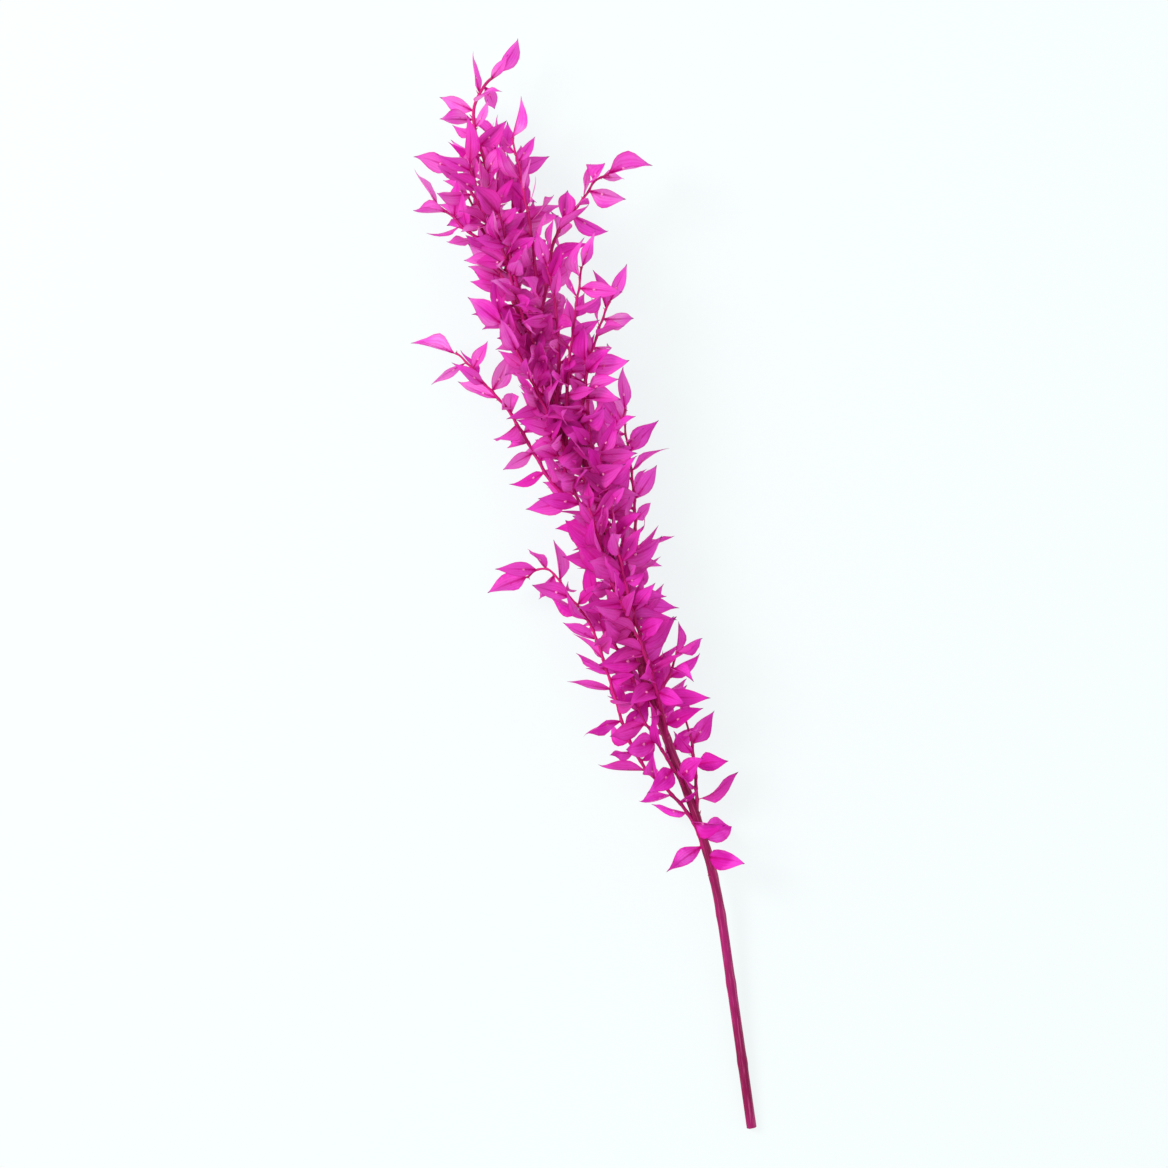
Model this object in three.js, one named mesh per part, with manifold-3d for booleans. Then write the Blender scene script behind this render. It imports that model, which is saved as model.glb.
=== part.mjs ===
// Dried ruscus stem: one cut stem of dyed, dried ruscus, lying on a flat surface.
//
// Millimetres, +Z up from the surface. +Y runs from the cut end towards the tip, and +X is to
// the right when the stem is seen from above with its tip away from the viewer. The origin is
// on the surface, under the middle of the stem's outline.
//
// The stem grew as one piece, so it is one solid: a bare woody stem, the side shoots that leave
// it, and the pointed leaves along them. Shoots that show on their own have routes set by hand.
// The rest of the shoots and all leaves follow a growth rule whose draws are seeded.

import * as THREE from "three";
import { mergeVertices } from "three/addons/utils/BufferGeometryUtils.js";
import Module from "manifold-3d";

// ---------------------------------------------------------------- driving dimensions

const ORIGIN = [-2.78, 375.55]; // where the middle of the outline lies, counted from the cut end

const SEGMENT_LENGTH = 30; // of the stem and of the shoots
const STEM_SIDES = 7;
const STEM_RADII = [[0, 3.4], [0.2, 3.2], [0.56, 2.4], [0.62, 1.8], [0.85, 1.45], [1, 1]];

const SHOOT_SIDES = 3;
const SHOOT_ROOT_RADIUS = 1.25;
const SHOOT_TIP_RADIUS = 0.7;

// The golden angle: shoots round the stem, and leaves round a shoot, follow it as a spiral
const SPIRAL_TURN = Math.PI * (3 - Math.sqrt(5));

const GROWN_SHOOTS = 24; // shoots that follow the growth rule
const GROWN_FROM = 215; // along the stem, where the first of them leaves it
const GROWN_TO = 665;
const GROWN_LENGTHS = [[0, 60], [0.12, 105], [0.5, 130], [0.8, 110], [1, 65]];
const GROWN_LEAN = [[0, 0], [0.52, 0], [0.7, 0.6], [1, 0.5]]; // outward lean to the right
const GROWN_RUN = 0.93; // how far along the stem a shoot gets, beside its length
const GROWN_REACH = [[0, 0.2], [0.3, 0.13], [0.5, 0.08], [0.68, 0.15], [1, 0.24]]; // and how far out
const FLATTENED = 0.55; // how far it gets down, beside that, since the stem lies on it
const GROWN_SPREAD = { place: 5, turn: 0.35, length: 0.15, sway: 0.12, roll: 0.9 };
const GROWN_WINDOW = 30; // a shoot takes the heading that the stem has over this much either way
const GROWN_SEEDS = { first: 1009, step: 97 };

const LEAF_LENGTH = 31;
const LEAF_WIDTH = 0.46; // of the leaf's length
const LEAF_THICKNESS = 0.7;
const LEAF_BEND = 0.06; // how far a leaf's tip drops, beside its length
const OPEN_AT_ROOT = 1.25; // radians between a leaf and its shoot, at the shoot's root
const OPEN_AT_TIP = 0.7;
const FREE_OPENS = 0.3; // and how much further it opens on a shoot that stands free
const LEADER_OPENS = 0.55; // and on the stem itself
const SHRUNK_AT_TIP = 0.18; // how much smaller the leaves are at a shoot's tip
const LAST_LEAF = { open: 0.15, size: 0.9 }; // the leaf that ends a shoot
const LEAF_SPREAD = { round: 0.9, open: 0.6, turned: 1.1, size: 0.22, width: 0.2, bend: 0.12 };
const LEAF_GAP = 8.8; // along a shoot, from leaf to leaf, at its root
const GAP_SHRINKS = 0.3; // how much smaller the gap is at the tip
const BARE_END = 5; // no leaf but the last one grows this near the tip
const FIRST_LEAF = 13; // from a shoot's root
const STEM_LEAVES_FROM = 455; // along the stem, above its bare and branching stretch
const LEAF_PLANE_PULL = 0.4; // how far leaves crowd towards the leaf plane of their shoot
const BUILT_OF = 3; // one leaf in three is built, and every tip leaf, to keep the solid light
const FLOOR_GAP = 1.2; // leaves stay this far above the surface
const LIFT = { tries: 12, tilt: 0.12, flatter: 0.6 }; // how a leaf is brought clear of it
const STEM_ROLL = 0.2; // of the stem's leaf plane, in radians
const STEM_SEED = 31;
const SHOOT_SEEDS = { first: 53, step: 17 };

// The outline of a leaf: share of its length, share of its half width
const LEAF_OUTLINE = [[0, 0], [0.29, -0.94], [0.62, -0.84], [1, 0], [0.43, 1]];

// Points on a leaf that are kept clear of the others, given in the same way
const LEAF_MARKERS = [
  [0.25, 0], [0.45, 0], [0.65, 0], [0.85, 0], [1, 0],
  [0.28, -0.94], [0.28, 0.94], [0.58, -0.8], [0.58, 0.8],
];

const DRAWS_PER_LEAF = 16; // the leaf takes the draw that keeps clearest of the others

// ---------------------------------------------------------------- routes set by hand

const STEM_ROUTE = [
  [113, 0, 2.95], [100, 90, 9], [89, 161, 16], [76, 210, 22], [56, 264, 29], [42, 303, 34],
  [28, 346, 39], [14, 398, 43], [7, 426, 45], [0, 447, 46], [-15, 465, 47], [-20, 491, 48],
  [-26, 513, 48], [-32, 529, 48], [-41, 550, 47], [-50, 566, 46], [-59, 587, 45],
  [-64, 615, 44], [-70, 661, 42], [-76, 679, 41], [-78, 695, 40], [-76, 705, 39],
  [-69, 717, 38], [-60, 724, 37],
];

// Each with its route and the roll of its leaf plane round the shoot, in radians
const HAND_SHOOTS = {
  left_spray: {
    roll: 0,
    route: [[7, 424, 45], [-10, 432, 47], [-25, 445, 46], [-41, 472, 43], [-56, 496, 40],
      [-69, 510, 38], [-84, 528, 36], [-91, 533, 35]],
  },
  lower_left_spray: {
    roll: 0.3,
    route: [[86, 176, 18], [72, 212, 24], [57, 232, 28], [38, 251, 32], [26, 274, 35],
      [16, 306, 38], [3, 345, 41], [-14, 369, 41], [-25, 384, 39], [-35, 385, 37],
      [-42, 380, 35]],
  },
  front_shoot: {
    roll: -0.2,
    route: [[48, 286, 32], [45, 309, 40], [36, 338, 50], [26, 373, 58], [19, 404, 62]],
  },
  swan_neck: {
    roll: 0.8,
    route: [[48, 288, 32], [50, 303, 42], [56, 316, 47], [60, 330, 48]],
  },
  right_stub: {
    roll: 0.2,
    route: [[0, 447, 46], [4, 457, 50], [15, 472, 54], [21, 481, 55], [25, 494, 55]],
  },
  centre_shoot: {
    roll: -0.4,
    route: [[-15, 466, 47], [-15, 495, 55], [-12, 532, 61], [-7, 570, 63], [-4, 590, 62]],
  },
  right_shoot: {
    roll: 0.1,
    route: [[0, 447, 46], [-3, 475, 51], [-4, 497, 54], [1, 527, 56], [9, 553, 56],
      [15, 567, 55]],
  },
  second_leader: {
    roll: 0.5,
    route: [[-32, 529, 48], [-34, 556, 52], [-37, 601, 54], [-43, 638, 53], [-48, 663, 51],
      [-52, 678, 49]],
  },
  upper_right_shoot: {
    roll: 0,
    route: [[-36, 540, 48], [-30, 568, 53], [-25, 600, 56], [-18, 618, 56], [-4, 635, 53],
      [4, 648, 51], [14, 654, 49]],
  },
  far_left_twig: {
    roll: 0,
    route: [[-59, 587, 45], [-66, 605, 47], [-81, 614, 47], [-93, 626, 45], [-103, 634, 43]],
  },
  near_left_twig: {
    roll: -0.3,
    route: [[-62, 600, 44], [-69, 622, 43], [-81, 645, 41], [-88, 653, 39], [-91, 659, 38]],
  },
  left_rest: {
    roll: 0.1,
    route: [[0, 447, 46], [-13, 482, 34], [-26, 516, 16], [-36, 543, 4], [-43, 572, 0.2]],
  },
  right_rest: {
    roll: -0.1,
    route: [[28, 346, 39], [32, 392, 28], [32, 430, 13], [29, 460, 4], [25, 487, 0.2]],
  },
};

// ---------------------------------------------------------------- draws, tables and routes

// Returns a seeded source of numbers between 0 and 1
function drawsFrom(seed) {
  const multiplier = 48271;
  const modulus = 2147483647;
  let state = seed;
  return () => {
    state = (state * multiplier) % modulus;
    return state / modulus;
  };
}

// A number up to reach either side of 0
function either(draw, reach) {
  return (2 * draw() - 1) * reach;
}

// Reads a table of [share, value] rows, in straight steps
function fromTable(table, share) {
  for (let row = 1; row < table.length; row += 1) {
    const [start, low] = table[row - 1];
    const [end, high] = table[row];
    if (share <= end) {
      return low + ((high - low) * (share - start)) / (end - start);
    }
  }
  return table[table.length - 1][1];
}

// A smooth route through points, with its running length at every step
function routeThrough(points) {
  const stepsPerSpan = 8;
  const knots = points.map(([x, y, z]) => new THREE.Vector3(x - ORIGIN[0], y - ORIGIN[1], z));
  const curve = new THREE.CatmullRomCurve3(knots, false, "catmullrom", 0.5);
  const steps = curve.getPoints((points.length - 1) * stepsPerSpan);
  const lengths = [0];
  for (let i = 1; i < steps.length; i += 1) {
    lengths.push(lengths[i - 1] + steps[i].distanceTo(steps[i - 1]));
  }
  return { steps, lengths, total: lengths[lengths.length - 1] };
}

function pointAt(route, distance) {
  const { steps, lengths, total } = route;
  const wanted = Math.min(Math.max(distance, 0), total);
  let i = 1;
  while (i < lengths.length - 1 && lengths[i] < wanted) {
    i += 1;
  }
  const share = (wanted - lengths[i - 1]) / (lengths[i] - lengths[i - 1]);
  return steps[i - 1].clone().lerp(steps[i], share);
}

// How many straight stretches the rod along a route has
function segmentsOf(route) {
  return Math.max(2, Math.round(route.total / SEGMENT_LENGTH));
}

// The point inside the rod at a distance along its route: the rod cuts the route's bends short
function insideRod(route, distance) {
  const step = route.total / segmentsOf(route);
  const start = Math.floor(distance / step) * step;
  return pointAt(route, start).lerp(pointAt(route, start + step), (distance - start) / step);
}

// The point at a distance along a route, with its heading and two directions square to it
function frameAt(route, distance, window = 4) {
  const heading = pointAt(route, distance + window)
    .sub(pointAt(route, distance - window))
    .normalize();
  const up = new THREE.Vector3(0, 0, 1).addScaledVector(heading, -heading.z).normalize();
  const side = new THREE.Vector3().crossVectors(heading, up);
  return { point: pointAt(route, distance), heading, up, side };
}

// ---------------------------------------------------------------- the growth rule

// A shoot that leaves the stem at an angle and then turns to run along it
function grownShoot(stem, index) {
  const spread = GROWN_SPREAD;
  const draw = drawsFrom(GROWN_SEEDS.first + GROWN_SEEDS.step * index);
  const share = (index + 0.5) / GROWN_SHOOTS;
  const distance = GROWN_FROM + (GROWN_TO - GROWN_FROM) * share + either(draw, spread.place);
  const turn = index * SPIRAL_TURN + either(draw, spread.turn);
  const length = fromTable(GROWN_LENGTHS, share) * (1 + either(draw, spread.length));
  const reach = fromTable(GROWN_REACH, share) * length;
  const { point, heading, up, side } = frameAt(stem, distance, GROWN_WINDOW);
  const outward = side.clone().multiplyScalar(Math.cos(turn));
  outward.addScaledVector(up, Math.sin(turn) * (Math.sin(turn) < 0 ? FLATTENED : 1));
  outward.x += fromTable(GROWN_LEAN, share);
  const sway = new THREE.Vector3().crossVectors(heading, outward);
  sway.multiplyScalar(either(draw, spread.sway) * length);
  const knots = 6;
  const points = [];
  for (let i = 0; i <= knots; i += 1) {
    const along = i / knots;
    const knot = point.clone()
      .addScaledVector(heading, GROWN_RUN * length * along)
      .addScaledVector(outward, reach * Math.sin((along * Math.PI) / 2))
      .addScaledVector(sway, along * along);
    points.push([knot.x + ORIGIN[0], knot.y + ORIGIN[1], knot.z]);
  }
  return { roll: either(draw, spread.roll), route: points };
}

// Where leaves grow along a route, the last of them at its very end
function leafPlaces(route, from) {
  const places = [];
  let distance = from;
  while (distance < route.total - BARE_END) {
    places.push(distance);
    distance += LEAF_GAP * (1 - (GAP_SHRINKS * distance) / route.total);
  }
  places.push(route.total - 1);
  return places;
}

// One way in which a leaf could stand at its place
function tryLeaf(frame, share, azimuth, isTip, opens, draw) {
  const spread = LEAF_SPREAD;
  const opening = OPEN_AT_ROOT + (OPEN_AT_TIP - OPEN_AT_ROOT) * share + opens;
  const round = azimuth + either(draw, spread.round);
  const open = (isTip ? LAST_LEAF.open : opening) + either(draw, spread.open);
  const turned = either(draw, spread.turned);
  const usual = isTip ? LAST_LEAF.size : 1 - SHRUNK_AT_TIP * share;
  const length = LEAF_LENGTH * usual * (1 + either(draw, spread.size));
  const out = frame.side.clone().multiplyScalar(Math.cos(round))
    .addScaledVector(frame.up, Math.sin(round));
  const along = frame.heading.clone().multiplyScalar(Math.cos(open))
    .addScaledVector(out, Math.sin(open));
  const flat = isTip ? frame.side : frame.heading;
  const level = flat.clone().addScaledVector(along, -flat.dot(along)).normalize();
  const normal = new THREE.Vector3().crossVectors(along, level);
  const across = level.multiplyScalar(Math.cos(turned))
    .addScaledVector(normal, Math.sin(turned));
  return liftedOffFloor({ base: frame.point, along, across, length });
}

// Points that stand for a leaf when room is looked for: along its midrib and on its edges
function markers(leaf) {
  return LEAF_MARKERS.map(([share, half]) =>
    leaf.base.clone()
      .addScaledVector(leaf.along, share * leaf.length)
      .addScaledVector(leaf.across, 0.5 * half * LEAF_WIDTH * leaf.length));
}

// Tilts a leaf up and lays it flatter until it clears the surface
function liftedOffFloor(leaf) {
  for (let tries = 0; tries < LIFT.tries; tries += 1) {
    const lowest = Math.min(...markers(leaf).map((marker) => marker.z));
    if (lowest >= FLOOR_GAP) {
      break;
    }
    leaf.along.z += LIFT.tilt;
    leaf.along.normalize();
    leaf.across.z *= LIFT.flatter;
    leaf.across.addScaledVector(leaf.along, -leaf.across.dot(leaf.along)).normalize();
  }
  return leaf;
}

// How far a leaf keeps from all the others and from the shoots that it doesn't grow on
function clearance(leaf, taken, ownRoute) {
  let nearest = Infinity;
  for (const marker of markers(leaf)) {
    for (const { owner, point } of taken) {
      if (owner !== ownRoute) {
        nearest = Math.min(nearest, marker.distanceToSquared(point));
      }
    }
  }
  return nearest;
}

// The leaves of one route, in a spiral that crowds towards the route's leaf plane
function leavesAlong(route, roll, from, opens, seed, taken) {
  const draw = drawsFrom(seed);
  const leaves = [];
  leafPlaces(route, from).forEach((distance, index, places) => {
    const isTip = index === places.length - 1;
    if (!isTip && index % BUILT_OF !== 0) {
      return;
    }
    const frame = frameAt(route, distance);
    const turn = index * SPIRAL_TURN;
    const azimuth = roll + turn - LEAF_PLANE_PULL * Math.sin(2 * turn);
    let best = null;
    let room = -1;
    for (let i = 0; i < DRAWS_PER_LEAF; i += 1) {
      const leaf = tryLeaf(frame, distance / route.total, azimuth, isTip, opens, draw);
      const clear = clearance(leaf, taken, route);
      if (clear > room) {
        room = clear;
        best = leaf;
      }
    }
    best.width = LEAF_WIDTH * best.length * (1 + either(draw, LEAF_SPREAD.width));
    best.bend = LEAF_BEND + either(draw, LEAF_SPREAD.bend);
    best.foot = insideRod(route, distance);
    markers(best).forEach((point) => taken.push({ owner: null, point }));
    leaves.push(best);
  });
  return leaves;
}

// ---------------------------------------------------------------- solids

const wasm = await Module();
wasm.setup();

function solidFrom(geometry) {
  geometry.deleteAttribute("normal");
  geometry.deleteAttribute("uv");
  const welded = mergeVertices(geometry);
  const mesh = new wasm.Mesh({
    numProp: 3,
    vertProperties: new Float32Array(welded.attributes.position.array),
    triVerts: new Uint32Array(welded.index.array),
  });
  return new wasm.Manifold(mesh);
}

// A closed, tapering rod: a cylinder bent along a route
function rod(route, sides, radiusAt) {
  const geometry = new THREE.CylinderGeometry(1, 1, 1, sides, segmentsOf(route));
  const place = geometry.attributes.position;
  for (let i = 0; i < place.count; i += 1) {
    const share = place.getY(i) + 0.5;
    const { point, side, up } = frameAt(route, share * route.total);
    const radius = radiusAt(share);
    point.addScaledVector(side, place.getX(i) * radius);
    point.addScaledVector(up, place.getZ(i) * radius);
    place.setXYZ(i, point.x, point.y, point.z);
  }
  return solidFrom(geometry);
}

// A leaf blade of even thickness, bent along its length, with its foot sunk into its shoot
function blade(leaf) {
  const normal = new THREE.Vector3().crossVectors(leaf.along, leaf.across);
  const positions = [];
  for (const face of [0.5, -0.5]) {
    for (const [share, half] of LEAF_OUTLINE) {
      const offset = (half * leaf.width) / 2;
      const drop = leaf.bend * leaf.length * share * share;
      const corner = (share === 0 ? leaf.foot : leaf.base).clone()
        .addScaledVector(leaf.along, share * leaf.length)
        .addScaledVector(leaf.across, offset)
        .addScaledVector(normal, face * LEAF_THICKNESS - drop);
      positions.push(corner.x, corner.y, corner.z);
    }
  }
  const corners = LEAF_OUTLINE.length;
  const top = [[0, 1, 4], [1, 2, 4], [2, 3, 4]];
  const faces = top.concat(top.map(([a, b, c]) => [a + corners, c + corners, b + corners]));
  for (let i = 0; i < corners; i += 1) {
    const next = (i + 1) % corners;
    faces.push([i, i + corners, next + corners], [i, next + corners, next]);
  }
  const geometry = new THREE.BufferGeometry();
  geometry.setAttribute("position", new THREE.Float32BufferAttribute(positions, 3));
  geometry.setIndex(faces.flat());
  return solidFrom(geometry);
}

function shootRod(route) {
  const taper = SHOOT_TIP_RADIUS - SHOOT_ROOT_RADIUS;
  return rod(route, SHOOT_SIDES, (share) => SHOOT_ROOT_RADIUS + taper * share);
}

// The whole plant in one solid, pared flat where it rests on the surface
function plantSolid() {
  const stem = routeThrough(STEM_ROUTE);
  const plans = Object.values(HAND_SHOOTS);
  for (let index = 0; index < GROWN_SHOOTS; index += 1) {
    plans.push(grownShoot(stem, index));
  }
  const shoots = plans.map(({ roll, route }) => ({ roll, route: routeThrough(route) }));
  const taken = [stem, ...shoots.map((shoot) => shoot.route)].flatMap((route) =>
    route.steps.map((point) => ({ owner: route, point })));
  const solids = [rod(stem, STEM_SIDES, (share) => fromTable(STEM_RADII, share))];
  const stemLeaves = leavesAlong(stem, STEM_ROLL, STEM_LEAVES_FROM, LEADER_OPENS, STEM_SEED, taken);
  solids.push(...stemLeaves.map(blade));
  shoots.forEach(({ roll, route }, index) => {
    solids.push(shootRod(route));
    const opens = index < Object.keys(HAND_SHOOTS).length ? FREE_OPENS : 0;
    const seed = SHOOT_SEEDS.first + SHOOT_SEEDS.step * index;
    solids.push(...leavesAlong(route, roll, FIRST_LEAF, opens, seed, taken).map(blade));
  });
  return wasm.Manifold.union(solids).trimByPlane([0, 0, 1], 0);
}

function meshFrom(solid, name, material) {
  const { vertProperties, triVerts } = solid.getMesh();
  const geometry = new THREE.BufferGeometry();
  geometry.setAttribute("position", new THREE.BufferAttribute(vertProperties, 3));
  geometry.setIndex(new THREE.BufferAttribute(triVerts, 1));
  const mesh = new THREE.Mesh(geometry, material);
  mesh.name = name;
  return mesh;
}

// ---------------------------------------------------------------- the part

const dyed = new THREE.MeshStandardMaterial({ color: 0xc21a92, roughness: 0.6, metalness: 0 });
const part = new THREE.Group();
part.add(meshFrom(plantSolid(), "ruscus_stem", dyed));

export default part;
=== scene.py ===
# %% [markdown]
# # A dried ruscus stem
#
# Florists sell ruscus dried and dyed, here in a strong magenta. One cut stem lies on a pale
# surface: a bare woody foot, side shoots, and hundreds of thin pointed leaves with a bud on many
# of them. Its plain solid is loaded as a fixed frame, and what is made here stays within two
# millimetres of that solid's box. Hundreds of leaves could be modelled one by one, but they
# follow a rule, so Python works out the rule and Geometry Nodes make the shapes from it.

import math

import bpy
import numpy as np
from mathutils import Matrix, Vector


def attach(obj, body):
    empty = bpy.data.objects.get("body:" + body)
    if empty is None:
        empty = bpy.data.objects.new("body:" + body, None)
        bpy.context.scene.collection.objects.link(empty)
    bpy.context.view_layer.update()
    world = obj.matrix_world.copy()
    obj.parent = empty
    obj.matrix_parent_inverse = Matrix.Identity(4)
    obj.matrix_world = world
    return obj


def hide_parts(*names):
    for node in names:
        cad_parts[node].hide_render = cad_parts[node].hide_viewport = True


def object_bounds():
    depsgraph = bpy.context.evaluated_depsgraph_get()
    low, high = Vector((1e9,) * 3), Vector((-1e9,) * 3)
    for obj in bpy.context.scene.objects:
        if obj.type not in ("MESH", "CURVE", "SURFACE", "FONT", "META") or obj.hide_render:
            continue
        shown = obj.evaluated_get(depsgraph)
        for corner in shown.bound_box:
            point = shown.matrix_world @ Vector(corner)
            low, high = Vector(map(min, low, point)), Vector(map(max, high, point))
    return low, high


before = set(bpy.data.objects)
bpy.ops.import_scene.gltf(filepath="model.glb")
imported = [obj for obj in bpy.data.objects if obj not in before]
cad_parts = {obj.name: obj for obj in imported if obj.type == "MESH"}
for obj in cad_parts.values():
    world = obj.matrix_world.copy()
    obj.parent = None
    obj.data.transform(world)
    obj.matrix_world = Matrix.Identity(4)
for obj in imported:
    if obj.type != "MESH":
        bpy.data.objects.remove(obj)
solid_low, solid_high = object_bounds()
print("the solid's box, in metres:", list(solid_low), list(solid_high))

# %% [markdown]
# ## The camera
#
# A cut stem lies down, so the camera looks straight down on it, with the tip at the top of the
# picture. It could stand close by with a wide lens, but the shoots that rise towards it would
# look larger than the others, so it stands far off with a long one.

# %% Place the camera over the stem
CAMERA_HEIGHT = 2.4  # metres
SENSOR = 36.0  # millimetres, the width of the camera's film
MARGIN = 1.055  # room round the stem, beside its length

half_view = MARGIN * (solid_high[1] - solid_low[1]) / 2
middle_height = (solid_high[2] + solid_low[2]) / 2
camera_data = bpy.data.cameras.new("camera")
camera_data.sensor_width = SENSOR
camera_data.lens = SENSOR / 2 * (CAMERA_HEIGHT - middle_height) / half_view
camera = bpy.data.objects.new("camera", camera_data)
camera.location = (0, 0, CAMERA_HEIGHT)
bpy.context.scene.collection.objects.link(camera)
bpy.context.scene.camera = camera
print(f"the lens is {camera_data.lens:.0f} mm long")

# %% [markdown]
# ## The surface and the light
#
# Dried leaves are thin, and more than half of their colour is light that comes through them. A
# lamp under them would do, but a surface that gives off most of its own light, as a light table
# does, also keeps the gaps between the leaves pale. Two large soft lamps stand above, for the
# gloss and a faint shadow, and a plain, nearly white world fills the rest. The Standard view
# keeps a strong dye as strong as it is, where the usual one would fade it.

# %% Make the surface
FLOOR_SIZE = 24.0  # metres
FLOOR_COLOUR = (0.11, 0.115, 0.115, 1)
FLOOR_ROUGHNESS = 0.9
GLOW_COLOUR = (0.935, 0.99, 0.99, 1)
FLOOR_GLOW = 0.835  # as the camera sees it
FLOOR_LIGHT = 1.05  # as the leaves get it


def set_shader(material, name, value):
    """Sets a value of a material's Principled shader."""
    material.node_tree.nodes["Principled BSDF"].inputs[name].default_value = value


def seen_and_lit(tree, socket, seen, lit):
    """Gives an input one strength for what the camera sees and another for the light it gives."""
    rays = tree.nodes.new("ShaderNodeLightPath")
    strength = tree.nodes.new("ShaderNodeMapRange")
    strength.inputs["To Min"].default_value = lit
    strength.inputs["To Max"].default_value = seen
    tree.links.new(rays.outputs["Is Camera Ray"], strength.inputs["Value"])
    tree.links.new(strength.outputs["Result"], socket)


bpy.ops.mesh.primitive_plane_add(size=FLOOR_SIZE)
floor = bpy.context.object
floor.name = "floor"
pale = bpy.data.materials.new("pale_surface")
pale.use_nodes = True
set_shader(pale, "Base Color", FLOOR_COLOUR)
set_shader(pale, "Roughness", FLOOR_ROUGHNESS)
set_shader(pale, "Emission Color", GLOW_COLOUR)
glow = pale.node_tree.nodes["Principled BSDF"].inputs["Emission Strength"]
seen_and_lit(pale.node_tree, glow, FLOOR_GLOW, FLOOR_LIGHT)
floor.data.materials.append(pale)
print("the surface is", FLOOR_SIZE, "metres wide")

# %% Set the lamps and the world
WORLD_COLOUR = (0.94, 0.98, 1.0, 1)
WORLD_SEEN = 0.95
WORLD_LIGHT = 0.85

# A lamp's name, its place and its width in metres, and its power in watts
LAMPS = [
    ("key_lamp", (-1.6, 0.7, 1.7), 1.0, 46),
    ("fill_lamp", (1.6, -0.3, 1.7), 1.8, 4),
]


def add_lamp(name, place, size, watts):
    """A square soft lamp that faces the middle of the surface."""
    data = bpy.data.lights.new(name, "AREA")
    data.size = size
    data.energy = watts
    lamp = bpy.data.objects.new(name, data)
    lamp.location = place
    lamp.rotation_euler = (-lamp.location).to_track_quat("-Z", "Y").to_euler()
    bpy.context.scene.collection.objects.link(lamp)


for name, place, size, watts in LAMPS:
    add_lamp(name, place, size, watts)

world = bpy.data.worlds.new("studio")
bpy.context.scene.world = world
world.use_nodes = True
background = world.node_tree.nodes["Background"]
background.inputs["Color"].default_value = WORLD_COLOUR
seen_and_lit(world.node_tree, background.inputs["Strength"], WORLD_SEEN, WORLD_LIGHT)
bpy.context.scene.view_settings.view_transform = "Standard"
print("a world and", len(bpy.data.lights), "lamps")

# %% [markdown]
# ## Formulas in nodes
#
# The shapes and finishes below are worked out by nodes, and a formula of forty Math nodes is
# hard to read as a list of links. A Field wraps one socket and knows plus, minus and times, so a
# formula in nodes is written as it is on paper.

# %% Write formulas as fields


def add_node(tree, kind, feeds=None, **settings):
    """Adds a node, sets its options, and feeds its inputs with values or sockets."""
    node = tree.nodes.new(kind)
    for name, value in settings.items():
        setattr(node, name, value)
    for socket, value in (feeds or {}).items():
        feed(tree, node.inputs[socket], value)
    return node


def feed(tree, socket, value):
    """Gives an input a value, or links it to a field or a socket."""
    if isinstance(value, Field):
        value = value.socket
    if isinstance(value, bpy.types.NodeSocket):
        tree.links.new(value, socket)
    else:
        socket.default_value = value


class Field:
    """A socket that a formula can use: numbers, or vectors."""

    def __init__(self, tree, socket):
        self.tree = tree
        self.socket = socket
        self.is_vector = socket.type in ("VECTOR", "RGBA")

    def maths(self, operation, *others):
        """One Math node, with this field as its first input."""
        node = add_node(self.tree, "ShaderNodeMath", {0: self}, operation=operation)
        for place, other in enumerate(others, start=1):
            feed(self.tree, node.inputs[place], other)
        return Field(self.tree, node.outputs[0])

    def vector_maths(self, operation, other, place=1):
        """One Vector Math node, with this field as its first input."""
        node = add_node(self.tree, "ShaderNodeVectorMath", {0: self}, operation=operation)
        feed(self.tree, node.inputs[place], other)
        return Field(self.tree, node.outputs[0])

    def __add__(self, other):
        if self.is_vector:
            return self.vector_maths("ADD", other)
        return self.maths("ADD", other)

    def __sub__(self, other):
        if self.is_vector:
            return self.vector_maths("SUBTRACT", other)
        return self.maths("SUBTRACT", other)

    def __mul__(self, other):
        if self.is_vector:
            return self.vector_maths("SCALE", other, place="Scale")
        return self.maths("MULTIPLY", other)

    def between(self, none, full):
        """0 up to none, 1 from full on, and a smooth rise between. Either may be the larger."""
        node = add_node(self.tree, "ShaderNodeMapRange",
                        {"Value": self, "From Min": none, "From Max": full},
                        interpolation_type="SMOOTHSTEP")
        return Field(self.tree, node.outputs["Result"])


print("fields know:", [name.strip("_") for name, way in vars(Field).items() if callable(way)])

# %% [markdown]
# ## Finishes
#
# The finishes of leaf, wood, scale and bud share one effect: the dye took unevenly, so each
# drifts between two colours from place to place, and has a fine dry grain. Each material could
# have nodes of its own for it, but one shader group, placed in each with its own colours, is
# made and mended once. It reads Object coordinates, which are the same metres for every piece.

# %% Build the uneven dye once, as a shader group
DRIFT_RANGE = (0.38, 0.68)  # of the noise, from the first colour alone to the second alone
MIX_FIRST, MIX_SECOND, MIX_RESULT = 6, 7, 2  # the Mix node's own sockets for colours


def new_group(name, inputs, outputs):
    """A shader group. An input is a name, a kind and a value, an output a name and a kind."""
    group = bpy.data.node_groups.new(name, "ShaderNodeTree")
    for label, kind, value in inputs:
        socket = group.interface.new_socket(label, in_out="INPUT", socket_type=kind)
        socket.default_value = value
    for label, kind in outputs:
        group.interface.new_socket(label, in_out="OUTPUT", socket_type=kind)
    return group, group.nodes.new("NodeGroupInput"), group.nodes.new("NodeGroupOutput")


def mixed(tree, share, first, second):
    """A colour between two others, at a share from 0 to 1."""
    node = add_node(tree, "ShaderNodeMix", {"Factor": share}, data_type="RGBA")
    feed(tree, node.inputs[MIX_FIRST], first)
    feed(tree, node.inputs[MIX_SECOND], second)
    return Field(tree, node.outputs[MIX_RESULT])


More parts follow.
